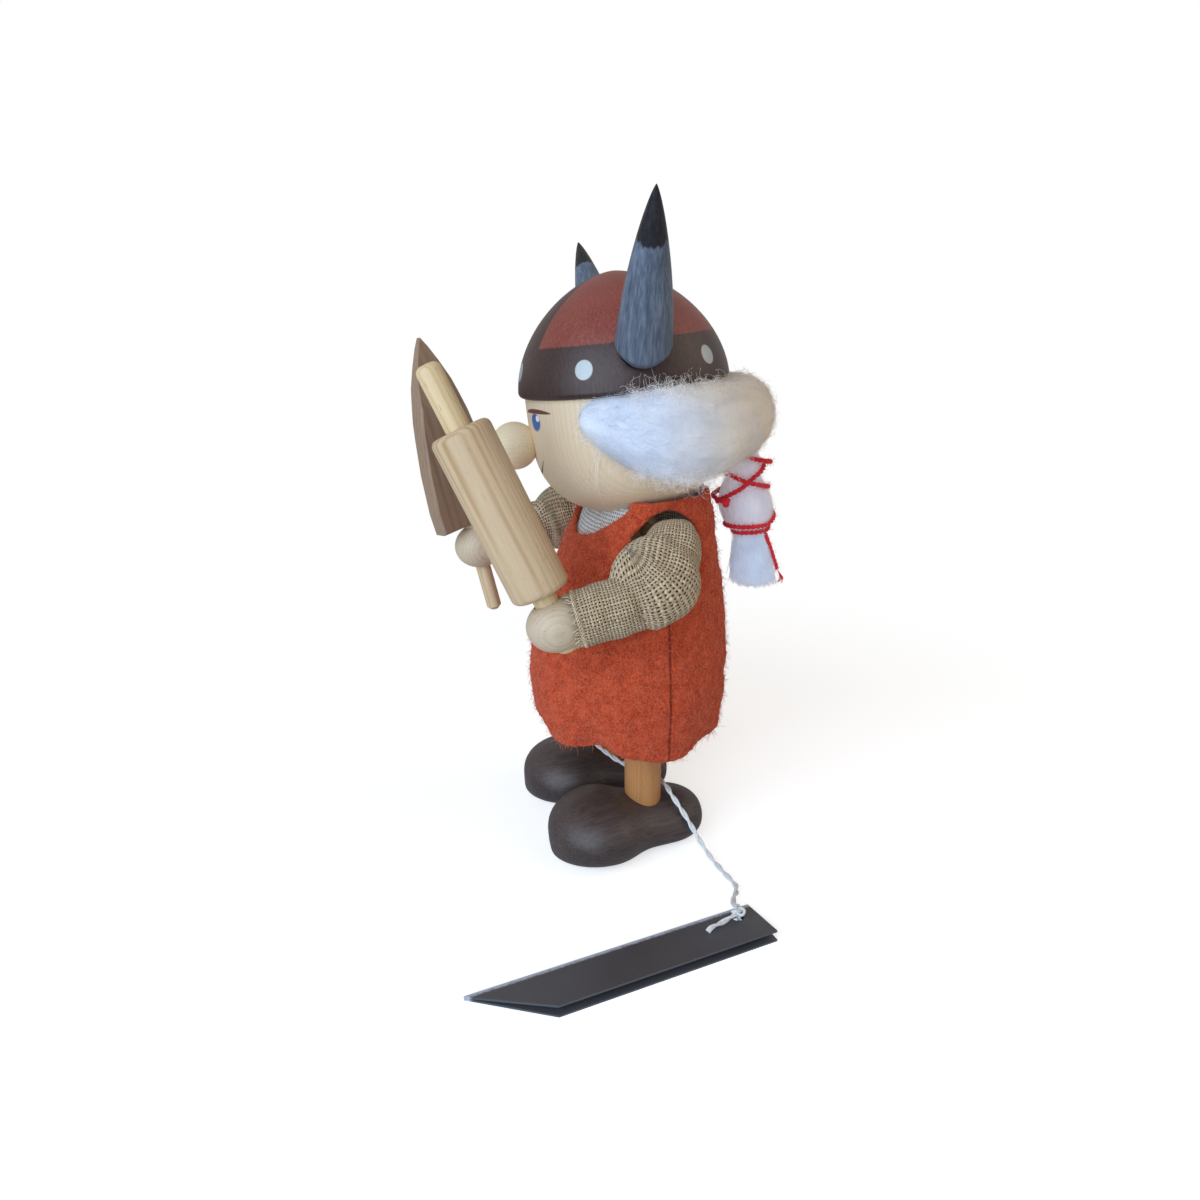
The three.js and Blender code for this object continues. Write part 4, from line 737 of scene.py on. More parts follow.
# Arms. Each is a bent dowel of pale wood with a ball hand, glued at the elbow at its own angle and drilled
# for what it holds.
SHOULDER_OUT, SHOULDER_BACK, SHOULDER_HEIGHT = 0.025, 0.003, 0.086
ARM_RADIUS, WRIST_RADIUS, HAND_RADIUS, HAND_STRETCH, CUFF_BACK = 0.0057, 0.0056, 0.0064, 1.16, 0.0046
FOREARM_START = 0.001
ELBOWS = {1: (0.0334, -0.0018, 0.0775), -1: (-0.0336, -0.011, 0.0808)}
HANDS = {1: (0.0284, -0.0261, 0.0712), -1: (-0.026, -0.0348, 0.0775)}
PIN_WAY = Vector((-0.175, -0.382, 0.907)).normalized()
SWORD_WAY = Vector((0, -0.205, 0.979)).normalized()
SWORD_HOLD = Vector(HANDS[-1]) + Vector((0, -0.001, 0))
PIN_HANDLE_RADIUS, SWORD_HANDLE_RADIUS = 0.0029, 0.0021
GRIPS = {1: (Vector(HANDS[1]), PIN_WAY, PIN_HANDLE_RADIUS), -1: (SWORD_HOLD, SWORD_WAY, SWORD_HANDLE_RADIUS)}


def arm_of(side):
    """Where the arm's shoulder, elbow, hand and cuff are, and which way its forearm goes."""
    shoulder = Vector((side * SHOULDER_OUT, SHOULDER_BACK, SHOULDER_HEIGHT))
    elbow, hand = Vector(ELBOWS[side]), Vector(HANDS[side])
    fore = (hand - elbow).normalized()
    return shoulder, elbow, hand, fore, hand - CUFF_BACK * fore


def aimed(start, way):
    """A frame at a place whose Z runs along a way."""
    return FIGURE @ Matrix.Translation(start) @ way.to_track_quat("Z", "Y").to_matrix().to_4x4()


def hand_reach(side, way):
    along = arm_of(side)[3].dot(way)
    return HAND_RADIUS * math.sqrt(1 - along * along + (HAND_STRETCH * along) ** 2)


for side, name in SIDES.items():
    shoulder, elbow, hand, fore, cuff = arm_of(side)
    length = (hand - elbow).length
    rows = [(0.0, FOREARM_START), (ARM_RADIUS, FOREARM_START), (WRIST_RADIUS, length - CUFF_BACK)]
    for k in range(33):
        turn = math.pi * (0.22 + 0.78 * k / 32)
        rows.append((HAND_RADIUS * math.sin(turn), length - HAND_STRETCH * HAND_RADIUS * math.cos(turn)))
    start = aimed(elbow, fore)
    middle, way, radius = GRIPS[side]
    hole = turned(rounded(radius + FIT_GAP, -0.02, 0.02, 0.0001, 2), aimed(middle, way), 48)
    piece(f"forearm_{name}", cut(turned(rows, start, 72), [hole]), f"{name}_arm",
          wood_finish(f"hand_wood_{name}", start, 0xd2c0a8, 0xb89e7c, gloss=0.4, line=0.3), smooth=50)

# Rolling pin. A drilled roller of pine on one dowel, which goes on down through the hand.
ROLLER_START = hand_reach(1, PIN_WAY) + 0.0017
ROLLER_LENGTH, ROLLER_RADIUS, ROLLER_EDGE = 0.0404, 0.007, 0.0016
ROLLER_END = ROLLER_START + ROLLER_LENGTH
ROLLER_HEART = Matrix.Translation((0.011, 0.006, 0))    # its year rings' middle, beside it
HANDLE_BELOW, HANDLE_ABOVE = 0.0068, 0.0148
HANDLE_EDGE = 0.55 * PIN_HANDLE_RADIUS
pin = aimed(Vector(HANDS[1]), PIN_WAY)


def bored(profile, bore, low, high):
    """A round bar's profile with a hole through it, as a closed ring."""
    return [(bore, low), *[row for row in profile if row[0] > bore], (bore, high), (bore, low)]


roller_rows = bored(rounded(ROLLER_RADIUS, ROLLER_START, ROLLER_END, ROLLER_EDGE),
                    PIN_HANDLE_RADIUS + FIT_GAP, ROLLER_START, ROLLER_END)
piece("pin_roller", turned(roller_rows, pin), "left_arm",
      wood_finish("roller_pine", pin @ ROLLER_HEART, 0xd6bd9a, 0xab7f50, rings=300, line=0.42, fibre=0.32),
      smooth=40)
handle_rows = rounded(PIN_HANDLE_RADIUS, -HANDLE_BELOW, ROLLER_END + HANDLE_ABOVE, HANDLE_EDGE)
piece("pin_handle", turned(handle_rows, pin, 64), "left_arm",
      wood_finish("handle_pine", pin, 0xe6cfa4, 0xcaa271, rings=420, line=0.3), smooth=60)

# Sword. A flat blade sawn from darker wood, its edges eased by hand, on the thin end of a turned handle.
sword = aimed(SWORD_HOLD, SWORD_WAY)
kept_solid("sword_blade", wood_finish("blade_wood", sword, 0xa68b74, 0x7d624e, gloss=0.5, rings=260,
                                                line=0.25, fibre=0.5, pores=0x6b4a30))
kept_solid("sword_handle", wood_finish("sword_handle_pine", sword, 0xdfc8a4, 0xc3a175, rings=420))

# Dress. A tube of thick orange-red wool felt, sewn up both sides, with cut armholes and a neckline that
# dips in front. It stands out a little in waves at the hem, and its fibres stand up all over.
HEM, DRESS_TOP = 0.030, 0.0954
FELT = 0.0015
DRESS_SHAPE = [  # share of its height, then how far it reaches to the side, the front and the back, in mm
    (0, 24.6, 24.8, 25.8), (0.092, 25.8, 26.5, 27), (0.229, 26.6, 26.9, 27.5), (0.398, 26, 25.6, 27.4),
    (0.55, 24.9, 22.6, 26.6), (0.703, 23.8, 19, 25), (0.81, 23.2, 15.2, 23.7), (0.887, 22.4, 12.6, 23.2),
    (0.94, 22, 10.8, 22.6), (1, 20.8, 9.4, 21.8),
]
WAVE_OUT, WAVE_FADE = 0.0011, 0.03            # how deep the hem's waves are, and how high they reach
DROP_WAVE, DROP_BACK, DROP_FADE = 0.0005, 0.0026, 0.008
ARMHOLE_MIDDLE, ARMHOLE_WIDE, ARMHOLE_TALL = Vector((0, 0.0036, 0.083)), 0.0097, 0.0107
ARMHOLE_OUT = 0.029
COLLAR_SIDE, COLLAR_FRONT, COLLAR_BACK = 0.0189, 0.0085, 0.0194
NOTCH_HALF, NOTCH_DEPTH, NOTCH_SAG, NOTCH_SLOPE = 0.0038, 0.010, 0.0008, 0.003
SEAM_BACK = 0.003
SEAM_SHADE = 0x74200f
SEAM_GROOVE, SEAM_RIDGE, SEAM_WANDER = 0.0007, 0.00022, 0.0006
FOLD_TURN = math.radians(-38)                 # where the hem folds in, at its left front
FOLD_WIDE, FOLD_HIGH, FOLD_DEEP, FOLD_LIFT = 0.16, 0.026, 0.0016, 0.0012
FELT_FIBRES, FELT_FIBRE_RADIUS = 6700, 0.000034
NAP = ((0.0018, 0.0007), (0.0028, 0.0014))    # each layer's length of fibre, and how high its ends stand


def cloth_point(across, z, inset):
    """A place on the dress's outside, or that far inside it."""
    height = min(1.0, max(0.0, (z - HEM) / (DRESS_TOP - HEM)))
    row = max(1, next(k for k, shape in enumerate(DRESS_SHAPE) if shape[0] >= height - 1e-9))
    rows = [DRESS_SHAPE[min(len(DRESS_SHAPE) - 1, max(0, row + k))] for k in (-2, -1, 0, 1)]
    t = (height - rows[1][0]) / (rows[2][0] - rows[1][0])
    side, front, back = [0.001 * eased(t, p1, p2, (p2 - p0) / 2, (p3 - p1) / 2) - inset
                         for p0, p1, p2, p3 in list(zip(*rows))[1:]]
    turn = 2 * math.pi * across
    above_hem = max(0.0, z - HEM)
    wave = math.sin(5 * turn + 0.9) + 0.45 * math.sin(3 * turn + 2.2)
    out = 1 + max(0.0, 1 - above_hem / WAVE_FADE) ** 1.6 * WAVE_OUT * wave / side
    drop = (DROP_WAVE * wave + DROP_BACK * math.sin(turn)) * max(0.0, 1 - above_hem / DROP_FADE)
    deep = back if math.sin(turn) > 0 else front
    return Vector((side * out * math.cos(turn), deep * out * math.sin(turn), z - drop))


def wall_rows(bottom, top, inset, wall, count):
    """Heights and depths that go up a cloth's outside and down its inside, over rounded edges."""
    up = [(bottom + (top - bottom) * k / count, 0.0) for k in range(count + 1)]
    bends = [(math.sin(math.pi * k / 5), math.cos(math.pi * k / 5)) for k in range(1, 5)]
    over = [(top + 0.5 * wall * rise, 0.5 * wall * (1 - run)) for rise, run in bends]
    down = [(top - (top - bottom) * k / count, wall) for k in range(count + 1)]
    under = [(bottom - 0.5 * wall * rise, 0.5 * wall * (1 + run)) for rise, run in bends]
    return [(z, inset + deep) for z, deep in [*up, *over, *down, *under, up[0]]]


def cloth_tube(bottom, top, inset, wall, round_steps, count):
    rows = wall_rows(bottom, top, inset, wall, count)
    return mesh_of(formed(round_steps, len(rows) - 1,
                          lambda across, along: cloth_point(across, *rows[round(along * (len(rows) - 1))])),
                   FIGURE)


def round_cutter(place, side, front, back, length):
    """A bar with an oval section, deeper one way than the other."""
    bm = bmesh.new()
    bmesh.ops.create_cone(bm, cap_ends=True, segments=72, radius1=1, radius2=1, depth=length)
    for vert in bm.verts:
        vert.co.x *= side
        vert.co.y *= back if vert.co.y > 0 else front
    return mesh_of(bm, FIGURE @ place)


def bent_line(start, pull, end):
    """Points along a quadratic curve, without the first."""
    rows = []
    for k in range(1, 9):
        t = k / 8
        rows.append(tuple((1 - t) ** 2 * a + 2 * t * (1 - t) * b + t * t * c
                          for a, b, c in zip(start, pull, end)))
    return rows


def neck_cutters(narrower, higher):
    """What the round collar and the dip in front of it are cut with."""
    half, low = NOTCH_HALF - 0.4 * narrower, DRESS_TOP - NOTCH_DEPTH + higher
    far, edge = COLLAR_SIDE - narrower - 0.0016, DRESS_TOP - 0.001
    rows = [(-half, low), *bent_line((-half, low), (0, low - NOTCH_SAG), (half, low)),
            *bent_line((half, low), (far - NOTCH_SLOPE, low + NOTCH_SLOPE), (far, edge)),
            (far, low + 0.03), (-far, low + 0.03), (-far, edge)]
    rows += bent_line((-far, edge), (-far + NOTCH_SLOPE, low + NOTCH_SLOPE), (-half, low))[:-1]
    bm = bmesh.new()
    face = bm.faces.new([bm.verts.new((x, 0, z)) for x, z in rows])
    for vert in bmesh.ops.extrude_face_region(bm, geom=[face])["geom"]:
        if isinstance(vert, bmesh.types.BMVert):
            vert.co.y = -0.034
    collar = round_cutter(Matrix.Translation((0, 0, DRESS_TOP + 0.0125)), COLLAR_SIDE - narrower,
                          COLLAR_FRONT - narrower, COLLAR_BACK - narrower, 0.035)
    return [collar, mesh_of(bm, FIGURE)]


def armhole_cutters():
    return [round_cutter(Matrix.Translation(ARMHOLE_MIDDLE + Vector((side * ARMHOLE_OUT, 0, 0)))
                         @ Matrix.Rotation(math.pi / 2, 4, "Y"),
                         ARMHOLE_TALL, ARMHOLE_WIDE, ARMHOLE_WIDE, 0.032)
            for side in SIDES]


def softened(mesh, voxel, rounds):
    """The mesh as one even skin of small faces, smoothed so that its cut edges turn soft."""
    body = bpy.data.objects.new("body", mesh)
    scene.collection.objects.link(body)
    remesh = body.modifiers.new("even", "REMESH")
    remesh.mode = "VOXEL"
    remesh.voxel_size = voxel
    smooth = body.modifiers.new("soft", "SMOOTH")
    smooth.factor = 0.5
    smooth.iterations = rounds
    return baked(body)


def roughened(mesh, *waves):
    """Pushes a mesh in and out along its normals, by (depth, size) of each wave of noise."""
    normals = [vert.normal.copy() for vert in mesh.vertices]
    for vert, normal in zip(mesh.vertices, normals):
        vert.co += sum(depth * noise.noise(vert.co / size) for depth, size in waves) * normal
    mesh.update()


def felt_finish(name, deep, bright, sheen, seam=False):
    """Matted wool: blotches, fine fibres and curled ones, with painted shade in the groove where it is sewn.
    """
    made, tree = finish(name)
    blotch = speckle(placed(tree), 330, 4, 0.6)
    fibre = speckle(placed(tree), 2600, 4, 0.75)
    for scale, thin in ((900, 16), (1500, 11)):
        level = speckle(placed(tree, None, (1, 1, 0.8)), scale, 1.5, 0.5)
        fibre = (abs(level - 0.5) * -thin + 1.0).at_least(0.0) * 0.16 + fibre
    colour = ramp(blotch * 0.35 + fibre * 0.65, (0.4, deep), (0.68, bright))
    if seam:
        _, y, z = axes_of(placed(tree, FIGURE))
        off = abs(y - (blotch * 0.0008 + (SEAM_BACK - 0.0004)))
        below_arm = z.of("LESS_THAN", ARMHOLE_MIDDLE.z)
        # Painted shade: the seam's groove below the armholes is darkened.
        colour = mixed(ranged(off, 0.00012, 0.0005, 0.75, 0.0) * below_arm, colour, tone(SEAM_SHADE))
    return shaded(made, Base_Color=colour, Roughness=0.95, Specular_IOR_Level=0.15, Sheen_Weight=sheen,
                  Sheen_Roughness=0.6, Sheen_Tint=tone(0xf0a08c), Normal=bumped(fibre, 0.00025, 0.9))


def surface_fibres(mesh, count, length, lift, seed, wanted=lambda place: True):
    """Short bent fibres that start on a mesh and lie along it, their ends standing off."""
    chance = random.Random(seed)
    ways = []
    while len(ways) < count:
        vert = mesh.vertices[chance.randrange(len(mesh.vertices))]
        normal = vert.normal
        if not wanted(vert.co):
            continue
        wander = Vector([chance.uniform(-1, 1) for _ in range(3)])
        flat = (wander - wander.dot(normal) * normal).normalized()
        turned_flat = flat.cross(normal)
        reach = length * chance.uniform(0.5, 1.3)
        bend = chance.uniform(-0.5, 0.5)
        rise = lift * chance.uniform(0.2, 1.0) ** 2
        ways.append([vert.co + t * reach * flat + bend * reach * t * t * turned_flat
                     + (rise * t * t - 0.0001 * (1 - t)) * normal for t in (0, 0.4, 0.75, 1)])
    return ways


def bell(off, width):
    return math.exp(-(off / width) ** 2)


dress_mesh = softened(cut(cloth_tube(HEM, DRESS_TOP, 0.0, FELT, 200, 80),
                          armhole_cutters() + neck_cutters(0, 0)),
                      0.00052, 5)
roughened(dress_mesh, (0.0004, 0.006), (0.00028, 0.002), (0.0002, 0.0009))
for vert in dress_mesh.vertices:
    here = FIGURE.inverted() @ vert.co
    low_down = max(0.0, 1 - (here.z - HEM) / FOLD_HIGH)
    beside = (math.atan2(here.y, here.x) - FOLD_TURN) / FOLD_WIDE
    push = FOLD_DEEP * low_down ** 1.3 * (bell(beside, 1) - 0.6 * bell(abs(beside) - 2.0, 0.9))
    vert.co -= push * Vector((here.x, here.y, 0)).normalized()
    vert.co.z += FOLD_LIFT * low_down ** 6 * bell(beside, 1)
seam_middle = FIGURE.to_translation().y + SEAM_BACK
for vert in dress_mesh.vertices:
    off = abs(vert.co.y - seam_middle + SEAM_WANDER * noise.noise(vert.co / 0.008))
    if off < 0.0022 and vert.co.z < ARMHOLE_MIDDLE.z:
        depth = SEAM_GROOVE * bell(off, 0.0005) - SEAM_RIDGE * bell(off - 0.0012, 0.0005)
        vert.co.x -= math.copysign(depth, vert.co.x)


def on_open_felt(place):
    """True away from the seams and from the armholes' edges, where the arms go."""
    beside = FIGURE.inverted() @ place - ARMHOLE_MIDDLE
    off_armhole = math.hypot(beside.y, beside.z) - 0.5 * (ARMHOLE_WIDE + ARMHOLE_TALL)
    return abs(place.y - seam_middle) > 0.0005 and off_armhole > 0.003


dress = piece("dress", dress_mesh, "base",
              felt_finish("red_felt", 0x9c2f18, 0xe0623f, 0.2, seam=True),
              smooth=180)
fuzz_finish = felt_finish("red_fuzz", 0xcb5a3c, 0xf09a7c, 0.3)
for k, (length, lift) in enumerate(NAP):
    ways = surface_fibres(dress_mesh, FELT_FIBRES, length, lift, 11 + k, on_open_felt)
    piece(f"dress_nap_{k + 1}", strands(ways, FELT_FIBRE_RADIUS, 0), "base", fuzz_finish,
                     smooth=180)

# Shirt. A band of coarse linen round the shoulders, under the dress, painted paler than the sleeves' linen to
# stand for the light falling on it. It is seen inside the dress's neckline, where its collar stands up, and
# at the armholes.
THREAD_PITCH = 0.00078
LINEN = 0.0009
SHIRT_INSET = FELT + FIT_GAP + 0.0001
SHIRT_TOP = DRESS_TOP - SHIRT_INSET
SHIRT_LENGTH = 0.0275
SHIRT_NARROWER = 0.0016
SHIRT_COLLAR_UP = 0.0066       # above the bottom of the dress's neckline


def woven_finish(name, thread, shade, gap_shade):
    """Plain weave: round threads that pass over and under one another, with painted shade in the gaps at
    their corners and in the low places between the threads. The piece's UV map counts its threads."""
    made, tree = finish(name)
    wander = node(tree, "VectorMath", {0: speckle(placed(tree), 420, 2, out=1), 1: (0.5, 0.5, 0.5)},
                  operation="SUBTRACT")
    wander = node(tree, "VectorMath", {0: wander, 3: 0.7}, operation="SCALE")
    u, v, _ = axes_of(node(tree, "VectorMath", {0: node(tree, "TexCoord", out="UV"), 1: wander},
                           operation="ADD"))

    def round_thread(along):
        middle = along.of("FRACT") * 2.0 - 1.0
        return (middle * middle * -2.2 + 1.0).at_least(0.0)

    def crossing(along, other, shift):
        phase = along + other.of("FLOOR") + shift
        return ((phase - 0.5) * math.pi).of("COSINE") * 0.42 + 0.58

    def thread_tone(along):
        return node(tree, "TexWhiteNoise", {"W": along.of("FLOOR")}, noise_dimensions="1D")

    warp = round_thread(u).root() * crossing(v, u, 0.0)
    weft = round_thread(v).root() * crossing(u, v, 1.0)
    height = warp.at_least(weft)
    tones = node(tree, "Mix", {0: warp.is_over(weft), 2: thread_tone(v), 3: thread_tone(u)},
                 data_type="FLOAT")
    slub = speckle(placed(tree), 1900, 3, 0.6)
    cloth = ramp(tones * 0.18 + slub * 0.82, (0.3, shade), (0.62, thread))
    # Painted shade: the low places between the threads take the dark gap colour.
    colour = mixed(ramp(height, (0.14, 0.0), (0.44, 1.0)), tone(gap_shade), cloth)
    return shaded(made, Base_Color=colour, Roughness=0.85, Specular_IOR_Level=0.2, Sheen_Weight=0.15,
                  Normal=bumped(slub * 0.2 + height, 0.00045))


def counted(mesh, ring, along):
    """Makes a mesh's UV map count threads, evenly round a closed ring of points and along its length."""
    walked = [0.0]
    for a, b in zip(ring, ring[1:]):
        walked.append(walked[-1] + (b - a).length)
    threads = 2 * round(walked[-1] / THREAD_PITCH / 2)
    layer = mesh.uv_layers.active.data
    for loop in mesh.loops:
        u, v = layer[loop.index].uv
        at = min(len(ring) - 2, int(u * (len(ring) - 1) + 1e-6))
        part = u * (len(ring) - 1) - at
        share = (walked[at] + part * (walked[at + 1] - walked[at])) / walked[-1]
        layer[loop.index].uv = (share * threads, v * along / THREAD_PITCH)


shirt_tube = cloth_tube(SHIRT_TOP - SHIRT_LENGTH, SHIRT_TOP, SHIRT_INSET, LINEN, 160, 40)
collar_ring = [cloth_point(k / 160, SHIRT_TOP - 0.004, SHIRT_INSET) for k in range(161)]
counted(shirt_tube, collar_ring, 2 * SHIRT_LENGTH)
shirt_mesh = cut(shirt_tube, armhole_cutters() + neck_cutters(SHIRT_NARROWER, SHIRT_COLLAR_UP))
# Its threads are painted paler than the sleeves' as painted light, and its gaps hold painted shade.
shirt = piece("shirt", shirt_mesh, "base", woven_finish("linen_painted_lit", 0xffffff, 0xeceae6, 0x6a6660),
              smooth=50)

# Sleeves. Coarse linen, one tube over each arm, puffed above the elbow and creased inside it, where more of
# the cloth gathers. Their cut ends are rolled in at the wrist, where threads work loose.
SLEEVE_STEPS = 90
SLEEVE_RADIUS = 0.0069
SLEEVE_THREADS = 56
SLEEVE_HOLE = 0.0046
CROOK_OUT, CROOK_FRONT, CROOK_UP = 0.001, -0.0028, 0.0022    # the cloth that gathers inside the elbow
CROOK_LEAN, CROOK_CLOTH = math.radians(37), (0.0054, 0.0094, 0.0074)
PUFF_DEPTH, ELBOW_DEPTH, SPILL_DEPTH, CREASE_DEPTH = 0.0011, 0.0008, 0.0012, 0.0009
FOLD_DEPTH, LUMP_DEPTH, CUFF_DEPTH, CUFF_ROLL = 0.00045, 0.0004, 0.0006, 0.0004
CUFF_THREADS, CUFF_THREAD_RADIUS = 46, 0.00019
CUFF_INSIDE, CUFF_RIM = 0.0061, 0.0064
RIM_THREAD, RIM_TWIST = 0.00034, 0.0021


def bent_way(side):
    """The sleeve's middle line from the shoulder to the cuff, rounded at the elbow."""
    shoulder, elbow, hand, fore, cuff = arm_of(side)
    near = elbow.lerp(shoulder, 0.55)
    far = elbow.lerp(cuff, 0.28)
    rows = [shoulder.lerp(near, k / 4) for k in range(4)]
    rows += [(1 - t) ** 2 * near + 2 * t * (1 - t) * elbow + t * t * far for t in (k / 8 for k in range(9))]
    rows += [far.lerp(cuff, k / 6) for k in range(1, 7)]
    return smooth_way(rows, SLEEVE_STEPS)


def sleeve_frames(side):
    """Along the sleeve: its middle, the way ahead, and the two directions square to it, the first inward."""
    way = bent_way(side)
    shoulder, elbow, hand, fore, cuff = arm_of(side)
    crook_out = ((elbow - shoulder).normalized() - fore).normalized()
    frames = []
    for k, here in enumerate(way):
        ahead = (way[min(k + 1, SLEEVE_STEPS)] - way[max(k - 1, 0)]).normalized()
        inner = (-crook_out + crook_out.dot(ahead) * ahead).normalized()
        frames.append((here, ahead, inner, ahead.cross(inner)))
    return frames


def across(turn, inward, side_way):
    return math.cos(turn) * inward + math.sin(turn) * side_way


def threaded(mesh, frames, length):
    """A UV map that counts a sleeve's threads: round its middle line and along it, over the shoulder too."""
    tree = kdtree.KDTree(len(frames))
    for k, (middle, _, _, _) in enumerate(frames):
        tree.insert(FIGURE @ middle, k)
    tree.balance()
    places = []
    for vert in mesh.vertices:
        _, k, _ = tree.find(vert.co)
        here, ahead, inward, side_way = frames[k]
        off = FIGURE.inverted() @ vert.co - here
        forward = off.dot(ahead)
        turn = math.atan2(off.dot(side_way), off.dot(inward)) / (2 * math.pi)
        walked = length * k / SLEEVE_STEPS + forward
        if k == 0 and forward < 0:
            walked = -SLEEVE_RADIUS * math.atan2(-forward, (off - forward * ahead).length)
        places.append((turn * SLEEVE_THREADS, walked / THREAD_PITCH))
    layer = mesh.uv_layers.new(name="threads")
    for face in mesh.polygons:
        least = min(places[vert][0] for vert in face.vertices)
        for loop, vert in zip(face.loop_indices, face.vertices):
            u, v = places[vert]
            if u - least > 0.5 * SLEEVE_THREADS:
                u -= SLEEVE_THREADS
            layer.data[loop].uv = (u, v)


def sleeve_reach(side, share, bend, turn):
    """How far the cloth stands out from the arm's middle, a share of the way down and turned from inward."""
    facing = math.cos(turn)
    past = share - bend
    crease = CREASE_DEPTH * bell(past - 0.21 - 0.05 * facing, 0.03)
    puff = PUFF_DEPTH * bell(past + 0.04, 0.15) + ELBOW_DEPTH * bell(past, 0.07) * max(0.0, -facing)
    spill = SPILL_DEPTH * bell(past, 0.16) * max(0.0, facing)
    fold = FOLD_DEPTH * math.sin(9 * share * math.pi + 2.2 * math.cos(turn + 0.8) + 1.7 * side)
    fold *= 0.4 + 0.6 * bell(past, 0.3)
    lump = LUMP_DEPTH * noise.noise(Vector((2.2 * facing, 2.2 * math.sin(turn), 7 * share + 5 * side)))
    cuff_in = CUFF_DEPTH * max(0.0, (share - 0.93) / 0.07) ** 2
    return SLEEVE_RADIUS + puff + spill - crease + fold + lump - cuff_in


def sleeve_mesh_of(side, frames):
    """The sleeve's cloth: down its outside, rolled in at the cuff, and up its inside, with a domed top."""
    shoulder, elbow, hand, fore, cuff = arm_of(side)
    middles = [frame_at[0] for frame_at in frames]
    bend = min(range(len(frames)), key=lambda k: (middles[k] - elbow).length) / SLEEVE_STEPS
    dome = [math.pi / 2 * k / 18 for k in range(18)]
    outer = [(0, rise, False, 0.0) for rise in dome]
    outer += [(k, math.pi / 2, False, 0.0) for k in range(SLEEVE_STEPS + 1)]
    roll = [(SLEEVE_STEPS, math.pi / 2, True, math.pi * k / 6) for k in range(1, 6)]
    inner = [(k, math.pi / 2, True, 0.0) for k in range(SLEEVE_STEPS, -1, -2)]
    inner += [(0, rise, True, 0.0) for rise in reversed(dome)]
    rows = outer + roll + inner

    def at(round_share, along):
        k, rise, inside, rolled = rows[round(along * (len(rows) - 1))]
        here, ahead, inward, side_way = frames[k]
        turn = 2 * math.pi * round_share
        radius = sleeve_reach(side, k / SLEEVE_STEPS, bend, turn)
        if inside:
            radius = min(radius - LINEN, SLEEVE_RADIUS - LINEN + 0.0001)
        if rolled:
            radius += 0.5 * LINEN * (1 + math.cos(rolled))
            here = here + CUFF_ROLL * math.sin(rolled) * ahead
        radius = max(radius, ARM_RADIUS + 0.0001)
        out = across(turn, inward, side_way)
        return here - ahead * radius * math.cos(rise) + out * radius * math.sin(rise)

    bm = formed(96, len(rows) - 1, at)
    crook = 0.45 * shoulder + 0.55 * elbow + 0.003 * fore + Vector((side * CROOK_OUT, CROOK_FRONT, CROOK_UP))
    bmesh.ops.create_uvsphere(bm, u_segments=40, v_segments=24, radius=1, matrix=Matrix.Translation(crook)
                              @ Matrix.Rotation(CROOK_LEAN, 4, "X") @ Matrix.Diagonal((*CROOK_CLOTH, 1)))
    made = softened(mesh_of(bm, FIGURE), 0.00036, 5)
    threaded(made, frames, way_length(middles))
    hole = turned(rounded(SLEEVE_HOLE, 0.0, 0.02, 0.0001, 2),
                  FIGURE @ Matrix.Translation(shoulder) @ Matrix.Rotation(-side * math.pi / 2, 4, "Y"), 48)
    return cut(made, [hole])


def cuff_threads_of(side, cuff_frame):
    """Loose ends that stick out of the cuff, and three threads wound round its rim."""
    chance = random.Random(40 + side)
    here, ahead, inward, side_way = cuff_frame
    ways = []
    for k in range(CUFF_THREADS):
        turn = 2 * math.pi * (k + chance.uniform(-0.4, 0.4)) / CUFF_THREADS
        ring = across(turn, inward, side_way)
        round_way = ahead.cross(ring)
        reach = chance.uniform(0.0006, 0.0018)
        sway = chance.uniform(-0.8, 0.8)
        ways.append([FIGURE @ (here + (CUFF_INSIDE + 0.0003 * t) * ring + reach * t * ahead
                               + sway * reach * t * t * round_way) for t in (0, 0.35, 0.7, 1)])
    rim = [FIGURE @ (here - 0.0004 * ahead + CUFF_RIM * across(math.pi * k / 90, inward, side_way))
           for k in range(181)]
    return ways + [wound_about(rim, RIM_THREAD, RIM_TWIST, 2.1 * k) for k in range(3)]


hem_thread = thread_finish("linen_thread", 2600, 3, 0.6, (0.3, 0x9f835c), (0.65, 0xe4d5b8), 0.0001,
                           Roughness=0.85)
linen = woven_finish("natural_linen", 0xe2ccab, 0xb0916b, 0x1c130c)
for side, name in SIDES.items():
    frames = sleeve_frames(side)
    sleeve = piece(f"sleeve_{name}", sleeve_mesh_of(side, frames), f"{name}_arm", linen, smooth=60)
    threads = piece(f"cuff_threads_{name}", strands(cuff_threads_of(side, frames[-1]), CUFF_THREAD_RADIUS, 1),
                    f"{name}_arm", hem_thread, smooth=180)

# Hair. One hank of white combed wool, laid round the head under the helmet's brim from temple to temple and
# thickest at the back. Its fibres run along the hank, and loose ones curl out over and under it.
HAIR_TEMPLE = 126
HAIR_INSIDE = 0.021
HAIR_SHAPE = [  # share of the way to a temple, then how far it reaches out, up and down, in mm
    (0, 37.4, -7.2, -25.4), (0.3, 34.6, -7.0, -26), (0.55, 33, -6.4, -27.4), (0.78, 31, -6.5, -23.2),
    (0.87, 29.7, -6.7, -19.7), (0.93, 28.6, -7.1, -16.9), (0.98, 26.9, -8.8, -14.6), (1, 25.4, -11.6, -11.8),
]
# The painted warm light on the back of the hank.
HANK_WARM_LIGHT = 0xf8e3c2
HANK_DEPTH = 0.004             # how far light goes into the wool
CLOSE_FIBRES, COMBED_FIBRES, CURLED_FIBRES, TEMPLE_FIBRES, STRAY_FIBRES = 6400, 800, 1700, 1500, 8
BRIM_CLEAR = 0.0003


